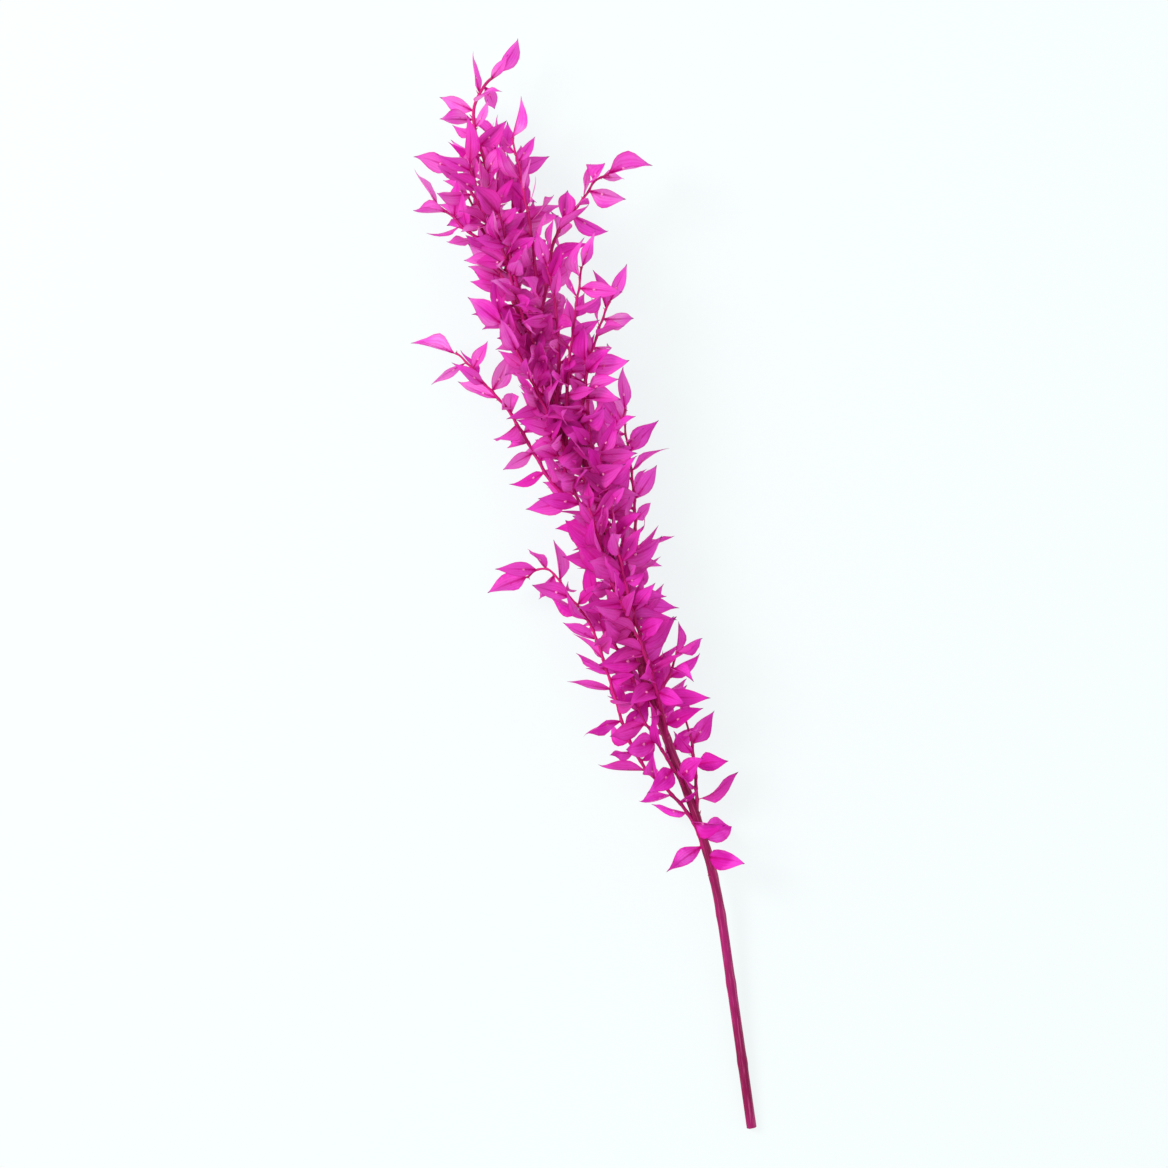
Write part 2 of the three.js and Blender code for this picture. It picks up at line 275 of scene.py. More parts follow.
def noise(tree, place, scale, detail=2.0):
    """Soft noise, mostly between 0.3 and 0.7. Its scale is in lumps to one unit of the place."""
    node = add_node(tree, "ShaderNodeTexNoise",
                    {"Vector": place, "Scale": scale, "Detail": detail, "Roughness": 0.6})
    return Field(tree, node.outputs["Fac"])


def make_uneven_dye():
    """Drifts a colour towards a second one, and gives the height of a dry grain."""
    tree, given, result = new_group(
        "uneven_dye",
        [("Colour", "NodeSocketColor", (0.5, 0.5, 0.5, 1)),
         ("Drift Colour", "NodeSocketColor", (0.5, 0.5, 0.5, 1)),
         ("Drift Scale", "NodeSocketFloat", 40.0),
         ("Grain Scale", "NodeSocketFloat", 1500.0)],
        [("Colour", "NodeSocketColor"), ("Height", "NodeSocketFloat")],
    )
    place = tree.nodes.new("ShaderNodeTexCoord").outputs["Object"]
    drift = noise(tree, place, given.outputs["Drift Scale"]).between(*DRIFT_RANGE)
    grain = noise(tree, place, given.outputs["Grain Scale"], detail=3.0)
    coloured = mixed(tree, drift, given.outputs["Colour"], given.outputs["Drift Colour"])
    feed(tree, result.inputs["Colour"], coloured)
    feed(tree, result.inputs["Height"], grain)
    return tree


uneven_dye = make_uneven_dye()
print("shader group", uneven_dye.name, "with", len(uneven_dye.nodes), "nodes")

# %% [markdown]
# A leaf carries marks: a midrib, fine veins that run from the root and meet at the tip, a dark
# rim, a deep foot, a few stains near the midrib, and a needle tip that dried out. They could be
# drawn for one leaf, but the leaves all differ in shape. So each blade has its own coordinates:
# Half runs from 0 at the midrib to 1 at the rim, and Share from the root to the tip. Lines of
# equal Half meet at the tip by themselves, so the veins need no drawing, only a rule.

# %% Build the marks of a blade, as a second group
MARKS = ("Veins", "Midrib", "Rim", "Tip", "Foot", "Stain")
VEINS = 4  # on each side of the midrib
VEIN_SHARPNESS = 4  # the higher, the finer the veins
VEIN_WOBBLE = (6.0, 0.12)  # its scale, and how far it shifts a vein
# Each pair is where a mark starts and where it has its full strength, on Half or on Share
MIDRIB_HALF, MIDRIB_SHARE = (0.16, 0.03), (0.9, 0.3)
RIM_HALF = (0.86, 1.0)
TIP_SHARE = (0.9, 0.99)
FOOT_SHARE = (0.2, 0.04)
DEEP_HALF, DEEP_SHARE = (0.5, 0.08), (0.4, 0.14)
DEEP_STRENGTH = 0.9
STAIN_HALF, STAIN_SHARE = (0.5, 0.08), (0.62, 0.3)
SPECK_SCALE = 330.0  # in lumps to the metre
SPECK_RANGE = (0.6, 0.67)


def make_blade_marks():
    """Masks that lie along a blade, one for each of its marks."""
    outputs = [(name, "NodeSocketFloat") for name in MARKS]
    tree, _, result = new_group("blade_marks", [], outputs)
    place = add_node(tree, "ShaderNodeUVMap", uv_map="blade_uv").outputs["UV"]
    parts = add_node(tree, "ShaderNodeSeparateXYZ", {0: place})
    share = Field(tree, parts.outputs["Y"])
    half = ((Field(tree, parts.outputs["X"]) - 0.5) * 2).maths("ABSOLUTE")
    wobble_scale, wobble_reach = VEIN_WOBBLE
    wobble = noise(tree, place, wobble_scale) * wobble_reach
    stripes = ((half + wobble) * (VEINS * math.pi)).maths("SINE").maths("ABSOLUTE")
    feed(tree, result.inputs["Veins"], stripes.maths("POWER", VEIN_SHARPNESS))
    midrib = half.between(*MIDRIB_HALF) * share.between(*MIDRIB_SHARE)
    feed(tree, result.inputs["Midrib"], midrib)
    feed(tree, result.inputs["Rim"], half.between(*RIM_HALF))
    feed(tree, result.inputs["Tip"], share.between(*TIP_SHARE))
    deep_foot = half.between(*DEEP_HALF) * share.between(*DEEP_SHARE) * DEEP_STRENGTH
    feed(tree, result.inputs["Foot"], share.between(*FOOT_SHARE) + deep_foot)
    ground = tree.nodes.new("ShaderNodeTexCoord").outputs["Object"]
    specks = noise(tree, ground, SPECK_SCALE).between(*SPECK_RANGE)
    near_midrib = half.between(*STAIN_HALF) * share.between(*STAIN_SHARE)
    feed(tree, result.inputs["Stain"], specks * near_midrib)
    return tree


blade_marks = make_blade_marks()
print("shader group", blade_marks.name, "with", len(blade_marks.nodes), "nodes")

# %% [markdown]
# ## The leaf's finish
#
# A dyed leaf sends back deep magenta and lets hot pink through. One opaque shader could give an
# average of the two, but then a leaf would look the same wherever the light comes from. So a
# Principled shader gives the first, with a satin gloss, a Translucent one gives the second, and
# the two are mixed. Every leaf has a tone of its own, from deep to bright. A sheen is painted
# into the colour as well: the underside is paler, and a few leaves are paler all over.

# %% Write what every material starts from


def new_material(name):
    """An empty material with its tree and output."""
    material = bpy.data.materials.new(name)
    material.use_nodes = True
    tree = material.node_tree
    tree.nodes.clear()
    return material, tree, tree.nodes.new("ShaderNodeOutputMaterial")


def dyed(tree, colour, drift, drift_scale=40.0, grain_scale=1500.0):
    """Places the uneven dye in a material, and returns its node."""
    node = add_node(tree, "ShaderNodeGroup", node_tree=uneven_dye)
    feed(tree, node.inputs["Colour"], colour)
    feed(tree, node.inputs["Drift Colour"], drift)
    feed(tree, node.inputs["Drift Scale"], drift_scale)
    feed(tree, node.inputs["Grain Scale"], grain_scale)
    return node


def attribute(tree, name):
    """A number that the mesh itself carries."""
    return Field(tree, add_node(tree, "ShaderNodeAttribute", attribute_name=name).outputs["Fac"])


print("a dyed material uses the group", uneven_dye.name)

# %% Make the leaf's material
LEAF_DEEP = (0.74, 0.002, 0.40, 1)
LEAF_BRIGHT = (0.97, 0.080, 0.73, 1)
LEAF_DRIFT = (0.90, 0.008, 0.60, 1)
# Painted sheen: the paler colour that undersides and a few whole leaves are mixed towards
LEAF_SHEEN_COLOUR = (0.95, 0.22, 0.60, 1)
LEAF_DARK_MARK = (0.55, 0.0, 0.20, 1)
LEAF_NEEDLE = (0.30, 0.04, 0.16, 1)
GLOW_DEEP = (0.79, 0.10, 0.67, 1)
GLOW_BRIGHT = (0.98, 0.78, 0.97, 1)
GLOW_DRIFT = (0.95, 0.40, 0.90, 1)
GLOW_DARK_MARK = (0.80, 0.03, 0.46, 1)
GLOW_SHARE = 0.64
MARK_STRENGTHS = {"Veins": 0.22, "Midrib": 0.5, "Rim": 0.55, "Foot": 0.75, "Stain": 0.65}
NEEDLE_STRENGTH = 0.75
# How far the painted sheen pales an underside, and a leaf that has it all over
UNDERSIDE_SHEEN, ALL_OVER_SHEEN = 0.25, 0.5
GRAIN_HEIGHT, MIDRIB_HEIGHT = 0.3, 2.0  # beside the height of a vein


def marked(tree, colour, marks, dark, needle):
    """Draws the marks of a blade on a colour."""
    for name, strength in MARK_STRENGTHS.items():
        colour = mixed(tree, Field(tree, marks.outputs[name]) * strength, colour, dark)
    return mixed(tree, Field(tree, marks.outputs["Tip"]) * NEEDLE_STRENGTH, colour, needle)


def make_leaf_material():
    """A satin front and a glow of light from behind, both with the marks of a blade."""
    material, tree, output = new_material("dyed_leaf")
    marks = add_node(tree, "ShaderNodeGroup", node_tree=blade_marks)
    tone = attribute(tree, "tone")
    surface = mixed(tree, tone, LEAF_DEEP, LEAF_BRIGHT)
    surface = dyed(tree, surface, LEAF_DRIFT)
    # Painted sheen: the underside, and a few leaves all over, are mixed towards a paler colour
    paler = attribute(tree, "underside") * UNDERSIDE_SHEEN + attribute(tree, "painted_sheen") * ALL_OVER_SHEEN
    front = mixed(tree, paler, surface.outputs["Colour"], LEAF_SHEEN_COLOUR)
    front = marked(tree, front, marks, LEAF_DARK_MARK, LEAF_NEEDLE)
    glow = mixed(tree, tone, GLOW_DEEP, GLOW_BRIGHT)
    glow = dyed(tree, glow, GLOW_DRIFT).outputs["Colour"]
    glow = marked(tree, glow, marks, GLOW_DARK_MARK, LEAF_NEEDLE)
    grain = Field(tree, surface.outputs["Height"]) * GRAIN_HEIGHT
    height = grain + Field(tree, marks.outputs["Veins"])
    height = height + Field(tree, marks.outputs["Midrib"]) * MIDRIB_HEIGHT
    bump = add_node(tree, "ShaderNodeBump",
                    {"Strength": 0.45, "Distance": 0.00012, "Height": height})
    satin = add_node(tree, "ShaderNodeBsdfPrincipled",
                     {"Base Color": front, "Roughness": 0.46, "Specular IOR Level": 0.12,
                      "Normal": bump.outputs[0]})
    thin = add_node(tree, "ShaderNodeBsdfTranslucent", {"Color": glow, "Normal": bump.outputs[0]})
    both = add_node(tree, "ShaderNodeMixShader",
                    {0: GLOW_SHARE, 1: satin.outputs[0], 2: thin.outputs[0]})
    feed(tree, output.inputs["Surface"], both.outputs[0])
    return material


dyed_leaf = make_leaf_material()
print("material", dyed_leaf.name, "with", len(dyed_leaf.node_tree.nodes), "nodes")

# %% [markdown]
# ## The bark's finish
#
# Bark took the dye as a crimson magenta, darker on the stem than on the shoots, and brightest
# where the wood is young: towards the tips of the stem and of the longer shoots. Fine ridges
# get a painted highlight and furrows a painted shade. Stretched noise on Object coordinates could
# draw them on a straight stick, but this wood bends, so they read coordinates that the wood
# carries: Ring goes once round it without a seam, and Run is the distance along it.

# %% Make the materials of the wood
BARK_COLOUR = (0.22, 0.002, 0.056, 1)
BARK_DRIFT = (0.33, 0.008, 0.115, 1)
# Painted highlight on the stem's ridges, and painted shade in its furrows
BARK_RIDGE_HIGHLIGHT = (0.62, 0.09, 0.25, 1)
BARK_FURROW_SHADE = (0.15, 0.001, 0.040, 1)
TWIG_COLOUR = (0.39, 0.003, 0.11, 1)
TWIG_DRIFT = (0.50, 0.006, 0.18, 1)
# Painted highlight on the shoots' ridges
TWIG_RIDGE_HIGHLIGHT = (0.66, 0.05, 0.27, 1)
YOUNG_WOOD = (0.66, 0.012, 0.21, 1)
YOUNG_STEM = (0.42, 0.72)  # metres along the stem, between which the wood turns young
YOUNG_SHOOT = (0.05, 0.15)  # and along a shoot
YOUNG_STRENGTH = 0.8
STREAK_SCALE = 3.2
STREAK_RUN = 14.0  # a lower one draws the streaks out further along the wood
# Where the streaks take their painted highlight and their painted shade, and how strongly
HIGHLIGHT_RANGE, HIGHLIGHT_STRENGTH = (0.5, 0.72), 0.65
SHADE_RANGE, SHADE_STRENGTH = (0.46, 0.28), 0.6
STREAK_HEIGHT, BARK_GRAIN_HEIGHT = 2.0, 0.25


def make_bark_material(name, main, drift, ridge_highlight, furrow_shade, young):
    """Ridged bark that drifts between two colours and is brighter where the wood is young. Its
    ridges get a painted highlight and its furrows a painted shade.
    """
    material, tree, output = new_material(name)
    ring = add_node(tree, "ShaderNodeAttribute", attribute_name="ring").outputs["Vector"]
    run = attribute(tree, "run")
    along = add_node(tree, "ShaderNodeCombineXYZ", {2: run * STREAK_RUN}).outputs[0]
    place = Field(tree, ring) + along
    streaks = noise(tree, place, STREAK_SCALE, detail=4.0)
    surface = dyed(tree, main, drift, drift_scale=22.0, grain_scale=2500.0)
    youth = run.between(*young) * YOUNG_STRENGTH
    colour = mixed(tree, youth, surface.outputs["Colour"], YOUNG_WOOD)
    # Painted highlight on the raised streaks, and painted shade in the low ones
    colour = mixed(tree, streaks.between(*HIGHLIGHT_RANGE) * HIGHLIGHT_STRENGTH, colour, ridge_highlight)
    colour = mixed(tree, streaks.between(*SHADE_RANGE) * SHADE_STRENGTH, colour, furrow_shade)
    grain = Field(tree, surface.outputs["Height"]) * BARK_GRAIN_HEIGHT
    height = streaks * STREAK_HEIGHT + grain
    bump = add_node(tree, "ShaderNodeBump",
                    {"Strength": 0.7, "Distance": 0.0003, "Height": height})
    bark = add_node(tree, "ShaderNodeBsdfPrincipled",
                    {"Base Color": colour, "Roughness": 0.48, "Specular IOR Level": 0.15,
                     "Normal": bump.outputs[0]})
    feed(tree, output.inputs["Surface"], bark.outputs[0])
    return material


dyed_bark = make_bark_material("dyed_bark", BARK_COLOUR, BARK_DRIFT, BARK_RIDGE_HIGHLIGHT,
                               BARK_FURROW_SHADE, YOUNG_STEM)
# The shoots' furrows take the bark's drift colour as their painted shade
dyed_twig = make_bark_material("dyed_twig", TWIG_COLOUR, TWIG_DRIFT, TWIG_RIDGE_HIGHLIGHT,
                               BARK_DRIFT, YOUNG_SHOOT)
print("materials:", dyed_bark.name, "and", dyed_twig.name)

# %% [markdown]
# ## The finishes of scales, buds and the cut
#
# Scales are drier and browner than the leaves, and buds are paler. They are too small for marks
# of their own, so both have one plain dry finish. The cut is different: it shows pale wood that
# the dye stained from the bark inwards, with rays that run outwards, faint rings and a soft
# brown pith. A picture of sawn wood could be laid on it, but a few formulas of the distance from
# the pith and the heading from it stay sharp at any size.

# %% Make the materials of scales, buds and the cut
SCALE_COLOUR = (0.46, 0.02, 0.15, 1)
SCALE_DRIFT = (0.36, 0.06, 0.13, 1)
BUD_COLOUR = (0.93, 0.30, 0.58, 1)
BUD_DRIFT = (0.74, 0.10, 0.36, 1)
CUT_WOOD = (0.72, 0.42, 0.36, 1)
CUT_RAY = (0.55, 0.24, 0.24, 1)
CUT_STAIN = (0.50, 0.05, 0.20, 1)
CUT_PITH = (0.42, 0.17, 0.16, 1)
RAY_SCALE = 9.0
RAY_RANGE, RAY_STRENGTH = (0.42, 0.62), 0.45
RING_TURNS = 38  # radians from the middle to the bark: six rings
RING_WOBBLE = (600.0, 0.12)  # its scale, and how far it shifts a ring
RING_RANGE, RING_STRENGTH = (0.1, 1.0), 0.25
STAIN_OUT = (0.5, 0.98)  # from the middle, where the dye's stain starts and is full
PITH_OUT = (0.26, 0.14)
CUT_GRAIN = (2500.0, 2)  # its scale, and its height beside a ring's


def make_dry_material(name, colour, drift, roughness):
    """A matte, dry finish for small parts."""
    material, tree, output = new_material(name)
    surface = dyed(tree, colour, drift, drift_scale=260.0, grain_scale=4000.0)
    bump = add_node(tree, "ShaderNodeBump",
                    {"Strength": 0.6, "Distance": 0.0001, "Height": surface.outputs["Height"]})
    dry = add_node(tree, "ShaderNodeBsdfPrincipled",
                   {"Base Color": surface.outputs["Colour"], "Roughness": roughness,
                    "Normal": bump.outputs[0]})
    feed(tree, output.inputs["Surface"], dry.outputs[0])
    return material


def make_cut_material():
    """Pale wood that the dye stained from its rim, with rays, rings and a soft brown pith."""
    material, tree, output = new_material("cut_wood")
    spoke = add_node(tree, "ShaderNodeAttribute", attribute_name="spoke").outputs["Vector"]
    length = add_node(tree, "ShaderNodeVectorMath", {0: spoke}, operation="LENGTH")
    out = Field(tree, length.outputs["Value"])
    heading = add_node(tree, "ShaderNodeVectorMath", {0: spoke}, operation="NORMALIZE")
    place = add_node(tree, "ShaderNodeTexCoord").outputs["Object"]
    rays = noise(tree, heading.outputs[0], RAY_SCALE).between(*RAY_RANGE)
    wobble_scale, wobble_reach = RING_WOBBLE
    wobble = noise(tree, place, wobble_scale) * wobble_reach
    rings = ((out + wobble) * RING_TURNS).maths("SINE")
    colour = mixed(tree, rays * RAY_STRENGTH, CUT_WOOD, CUT_RAY)
    colour = mixed(tree, rings.between(*RING_RANGE) * RING_STRENGTH, colour, CUT_RAY)
    colour = mixed(tree, out.between(*STAIN_OUT), colour, CUT_STAIN)
    colour = mixed(tree, out.between(*PITH_OUT), colour, CUT_PITH)
    grain_scale, grain_height = CUT_GRAIN
    height = rays + rings + noise(tree, place, grain_scale) * grain_height
    bump = add_node(tree, "ShaderNodeBump",
                    {"Strength": 0.6, "Distance": 0.0001, "Height": height})
    wood = add_node(tree, "ShaderNodeBsdfPrincipled",
                    {"Base Color": colour, "Roughness": 0.75, "Normal": bump.outputs[0]})
    feed(tree, output.inputs["Surface"], wood.outputs[0])
    return material


dry_scale = make_dry_material("dry_scale", SCALE_COLOUR, SCALE_DRIFT, roughness=0.65)
dry_bud = make_dry_material("dry_bud", BUD_COLOUR, BUD_DRIFT, roughness=0.6)
cut_wood = make_cut_material()
print("materials:", [material.name for material in bpy.data.materials])

# %% [markdown]
# ## The growth rule
#
# The finer leaves have to stand where the solid's leaves stand. Their places could be read off
# the solid's mesh, but it holds only one leaf in three, so the part's own rule is repeated here,
# in millimetres: the same listed routes, and the same seeded draws in the same order. Leaves
# follow a shoot as a spiral that turns by the golden angle, which is how many plants keep their
# leaves out of each other's shade.

# %% The routes of the stem and of the shoots that show on their own
ORIGIN = np.array([-2.78, 375.55, 0.0])  # the middle of the outline, on the routes' own scale
MM = 0.001  # metres

# The middle of the wood, from the cut to the tip: across, along and up, in millimetres
STEM_ROUTE = [
    (113, 0, 2.95), (100, 90, 9), (89, 161, 16), (76, 210, 22), (56, 264, 29), (42, 303, 34),
    (28, 346, 39), (14, 398, 43), (7, 426, 45), (0, 447, 46), (-15, 465, 47), (-20, 491, 48),
    (-26, 513, 48), (-32, 529, 48), (-41, 550, 47), (-50, 566, 46), (-59, 587, 45),
    (-64, 615, 44), (-70, 661, 42), (-76, 679, 41), (-78, 695, 40), (-76, 705, 39),
    (-69, 717, 38), (-60, 724, 37),
]

# Each with the roll of its leaf plane round the shoot, in radians, and its route
HAND_SHOOTS = {
    "left_spray": (0, [
        (7, 424, 45), (-10, 432, 47), (-25, 445, 46), (-41, 472, 43), (-56, 496, 40),
        (-69, 510, 38), (-84, 528, 36), (-91, 533, 35)]),
    "lower_left_spray": (0.3, [
        (86, 176, 18), (72, 212, 24), (57, 232, 28), (38, 251, 32), (26, 274, 35),
        (16, 306, 38), (3, 345, 41), (-14, 369, 41), (-25, 384, 39), (-35, 385, 37),
        (-42, 380, 35)]),
    "front_shoot": (-0.2, [
        (48, 286, 32), (45, 309, 40), (36, 338, 50), (26, 373, 58), (19, 404, 62)]),
    "swan_neck": (0.8, [(48, 288, 32), (50, 303, 42), (56, 316, 47), (60, 330, 48)]),
    "right_stub": (0.2, [
        (0, 447, 46), (4, 457, 50), (15, 472, 54), (21, 481, 55), (25, 494, 55)]),
    "centre_shoot": (-0.4, [
        (-15, 466, 47), (-15, 495, 55), (-12, 532, 61), (-7, 570, 63), (-4, 590, 62)]),
    "right_shoot": (0.1, [
        (0, 447, 46), (-3, 475, 51), (-4, 497, 54), (1, 527, 56), (9, 553, 56), (15, 567, 55)]),
    "second_leader": (0.5, [
        (-32, 529, 48), (-34, 556, 52), (-37, 601, 54), (-43, 638, 53), (-48, 663, 51),
        (-52, 678, 49)]),
    "upper_right_shoot": (0, [
        (-36, 540, 48), (-30, 568, 53), (-25, 600, 56), (-18, 618, 56), (-4, 635, 53),
        (4, 648, 51), (14, 654, 49)]),
    "far_left_twig": (0, [
        (-59, 587, 45), (-66, 605, 47), (-81, 614, 47), (-93, 626, 45), (-103, 634, 43)]),
    "near_left_twig": (-0.3, [
        (-62, 600, 44), (-69, 622, 43), (-81, 645, 41), (-88, 653, 39), (-91, 659, 38)]),
    "left_rest": (0.1, [
        (0, 447, 46), (-13, 482, 34), (-26, 516, 16), (-36, 543, 4), (-43, 572, 0.2)]),
    "right_rest": (-0.1, [
        (28, 346, 39), (32, 392, 28), (32, 430, 13), (29, 460, 4), (25, 487, 0.2)]),
}
print("one stem and", len(HAND_SHOOTS), "shoots set by hand")

# %% [markdown]
# ## Chance and routes
#
# Wood grows in smooth bends. A curve object could carry a route, but the rule has to know each
# route's points, headings and lengths before anything is made, so a route is worked out in
# Python: a curve that passes through all its points. Chance comes from a small generator that
# the part has too. Each route has a seed of its own, so one more leaf on it doesn't shift the
# draws of the next.

# %% Draw by chance and read tables


def draws_from(seed):
    """A seeded source of numbers between 0 and 1."""
    multiplier = 48271
    modulus = 2147483647
    state = seed

    def draw():
        nonlocal state
        state = state * multiplier % modulus
        return state / modulus

    return draw


def either(draw, reach):
    """A number up to reach either side of 0."""
    return (2 * draw() - 1) * reach


def unit(vector):
    """A vector of length 1 with the same heading."""
    return vector / math.sqrt(vector @ vector)


def from_table(table, share):
    """Reads a table of share and value, in straight steps."""
    shares, values = zip(*table)
    return np.interp(share, shares, values)


print("half way down a table from 1 to 3:", from_table([(0, 1), (1, 3)], 0.5))

# %% Make a route of the stem's points


class Route:
    """A smooth route through points, with its running length at every step."""

    def __init__(self, points, steps_per_span=8):
        knots = np.array(points, float) - ORIGIN
        ends = 2 * knots[0] - knots[1], 2 * knots[-1] - knots[-2]
        knots = np.vstack([ends[0], knots, ends[1]])
        steps = []
        for span in range(1, len(knots) - 2):
            before, start, end, after = knots[span - 1:span + 3]
            leaving, arriving = (end - before) / 2, (after - start) / 2
            for step in range(steps_per_span):
                share = step / steps_per_span
                square, cube = share ** 2, share ** 3
                steps.append(start + leaving * share
                             + (3 * (end - start) - 2 * leaving - arriving) * square
                             + (2 * (start - end) + leaving + arriving) * cube)
        steps.append(knots[-2])
        self.steps = np.array(steps)
        gaps = np.linalg.norm(np.diff(self.steps, axis=0), axis=1)
        self.lengths = np.concatenate([[0], np.cumsum(gaps)])
        self.total = self.lengths[-1]

    def point(self, distance):
        """The point at a distance along the route."""
        return np.array([np.interp(distance, self.lengths, self.steps[:, axis])
                         for axis in range(3)])

    def frame(self, distance, window=4):
        """The point, the heading over a window to each side, and two directions square to it."""
        heading = unit(self.point(distance + window) - self.point(distance - window))
        up = unit(np.array([0, 0, 1]) - heading * heading[2])
        return self.point(distance), heading, up, np.cross(heading, up)


stem = Route(STEM_ROUTE)
print(f"the stem is {stem.total:.0f} mm long along its curve")

# %% [markdown]
# ## The shoots that a rule grows
#
# Most shoots are not seen one by one. They could all be listed too, but a rule grows them
# more evenly. Each leaves the stem at an angle, turned from the last one by the golden angle,
# then bends until it runs along the stem. Shoots are longest in the middle of the stem, and
# flatter below it, where the stem lies on them.

# %% Grow the shoots that follow the rule
SPIRAL_TURN = math.pi * (3 - math.sqrt(5))  # the golden angle

GROWN_SHOOTS = 24
GROWN_SEEDS = (1009, 97)  # the first one, and the step to the next
GROWN_WINDOW = 30  # to each side, over which the stem's heading is read
GROWN_SPANS = 6  # of a grown shoot's route
GROWN_FROM, GROWN_TO = 215, 665  # along the stem
GROWN_LENGTHS = [(0, 60), (0.12, 105), (0.5, 130), (0.8, 110), (1, 65)]
GROWN_LEAN = [(0, 0), (0.52, 0), (0.7, 0.6), (1, 0.5)]  # to the right
GROWN_RUN = 0.93  # how far along the stem a shoot gets, beside its length
GROWN_REACH = [(0, 0.2), (0.3, 0.13), (0.5, 0.08), (0.68, 0.15), (1, 0.24)]  # and how far out
FLATTENED = 0.55  # how far it gets down, beside that
GROWN_SPREAD = {"place": 5, "turn": 0.35, "length": 0.15, "sway": 0.12, "roll": 0.9}


def grown_shoot(index):
    """The roll of one grown shoot, and the points of its route."""
    spread = GROWN_SPREAD
    first_seed, seed_step = GROWN_SEEDS
    draw = draws_from(first_seed + seed_step * index)
    share = (index + 0.5) / GROWN_SHOOTS
    distance = GROWN_FROM + (GROWN_TO - GROWN_FROM) * share + either(draw, spread["place"])
    turn = index * SPIRAL_TURN + either(draw, spread["turn"])
    length = from_table(GROWN_LENGTHS, share) * (1 + either(draw, spread["length"]))
    reach = from_table(GROWN_REACH, share) * length
    point, heading, up, side = stem.frame(distance, GROWN_WINDOW)
    down = FLATTENED if math.sin(turn) < 0 else 1
    outward = side * math.cos(turn) + up * math.sin(turn) * down
    outward[0] += from_table(GROWN_LEAN, share)
    sway = np.cross(heading, outward) * either(draw, spread["sway"]) * length
    points = []
    for step in range(GROWN_SPANS + 1):
        along = step / GROWN_SPANS
        points.append(point + heading * GROWN_RUN * length * along
                      + outward * reach * math.sin(along * math.pi / 2)
                      + sway * along ** 2 + ORIGIN)
    return either(draw, spread["roll"]), points


shoot_plans = list(HAND_SHOOTS.values()) + [grown_shoot(index) for index in range(GROWN_SHOOTS)]
shoots = [(roll, Route(points)) for roll, points in shoot_plans]
print(len(shoots), "shoots,", round(sum(route.total for _, route in shoots)), "mm in all")

# %% [markdown]
# ## The leaves' places
#
# Leaves spread until they have light. Chance alone would turn many of them into each other, and
# a simulation of their growth would be slow. So a leaf tries several ways to stand at its place
# and keeps the one with the most room round it. Where shoots are crowded, some leaves still
# cross.

# %% Keep account of the room
LEAF_WIDTH = 0.46  # of the leaf's length
# Shares of a leaf's length and of its half width
MARKERS = np.array([
    (0.25, 0), (0.45, 0), (0.65, 0), (0.85, 0), (1, 0),
    (0.28, -0.94), (0.28, 0.94), (0.58, -0.8), (0.58, 0.8)])
NEAR = 150  # millimetres; what is further off can't be a leaf's nearest neighbour


class Room:
    """The points that are taken, each with the number of the route that owns it."""

    def __init__(self):
        self.points = np.zeros((0, 3))
        self.owners = np.zeros(0, int)

    def take(self, points, owner=-1):
        """Marks points as taken. A leaf's points belong to no route."""
        self.points = np.vstack([self.points, points])
        self.owners = np.concatenate([self.owners, np.full(len(points), owner)])

    def near(self, place, own_route):
        """What is near a place and doesn't belong to the leaf's own route."""
        close = np.sum((self.points - place) ** 2, axis=1) < NEAR ** 2
        return self.points[close & (self.owners != own_route)]


def markers(leaf):
    """Points on a leaf that are kept clear of the others."""
    length = leaf["length"]
    return (leaf["root"] + MARKERS[:, :1] * length * leaf["along"]
            + MARKERS[:, 1:] * 0.5 * LEAF_WIDTH * length * leaf["across"])


print("a leaf keeps", len(MARKERS), "points clear")

# %% Let a leaf try a way to stand
LEAF_LENGTH = 31  # millimetres
LEAF_BEND = 0.06  # how far a leaf's tip drops, beside its length
OPEN_AT_ROOT, OPEN_AT_TIP = 1.25, 0.7  # radians between a leaf and its shoot
FREE_OPENS = 0.3  # and how much further it opens on a shoot that stands free
LEADER_OPENS = 0.55  # and on the stem itself
SHRUNK_AT_TIP = 0.18  # how much smaller the leaves are at a shoot's tip
LAST_LEAF = {"open": 0.15, "size": 0.9}
LEAF_SPREAD = {"round": 0.9, "open": 0.6, "turned": 1.1, "size": 0.22, "width": 0.2,
               "bend": 0.12}
TRIES_PER_LEAF = 16
FLOOR_GAP = 1.2  # millimetres
LIFT = {"tries": 12, "along": 0.12, "across": 0.6}  # how a leaf gets clear of the surface


def lifted_off_floor(leaf):
    """Tilts a leaf up and lays it flatter until it clears the surface."""
    along, across = leaf["along"], leaf["across"]
    for _ in range(LIFT["tries"]):
        if markers(leaf)[:, 2].min() >= FLOOR_GAP:
            break
        along[2] += LIFT["along"]
        along[:] = unit(along)
        across[2] *= LIFT["across"]
        across[:] = unit(across - along * (across @ along))
    return leaf


def try_leaf(place, share, azimuth, is_tip, opens, draw):
    """One way in which a leaf could stand at its place."""
    point, heading, up, side = place
    spread = LEAF_SPREAD
    opening = OPEN_AT_ROOT + (OPEN_AT_TIP - OPEN_AT_ROOT) * share + opens
    opening = LAST_LEAF["open"] if is_tip else opening
    about = azimuth + either(draw, spread["round"])
    opened = opening + either(draw, spread["open"])
    turned = either(draw, spread["turned"])
    usual = LAST_LEAF["size"] if is_tip else 1 - SHRUNK_AT_TIP * share
    length = LEAF_LENGTH * usual * (1 + either(draw, spread["size"]))
    out = side * math.cos(about) + up * math.sin(about)
    along = heading * math.cos(opened) + out * math.sin(opened)
    flat = side if is_tip else heading
    level = unit(flat - along * (flat @ along))
    normal = np.cross(along, level)
    across = level * math.cos(turned) + normal * math.sin(turned)
    return lifted_off_floor({"root": point, "along": along, "across": across, "length": length,
                             "heading": heading, "out": out})


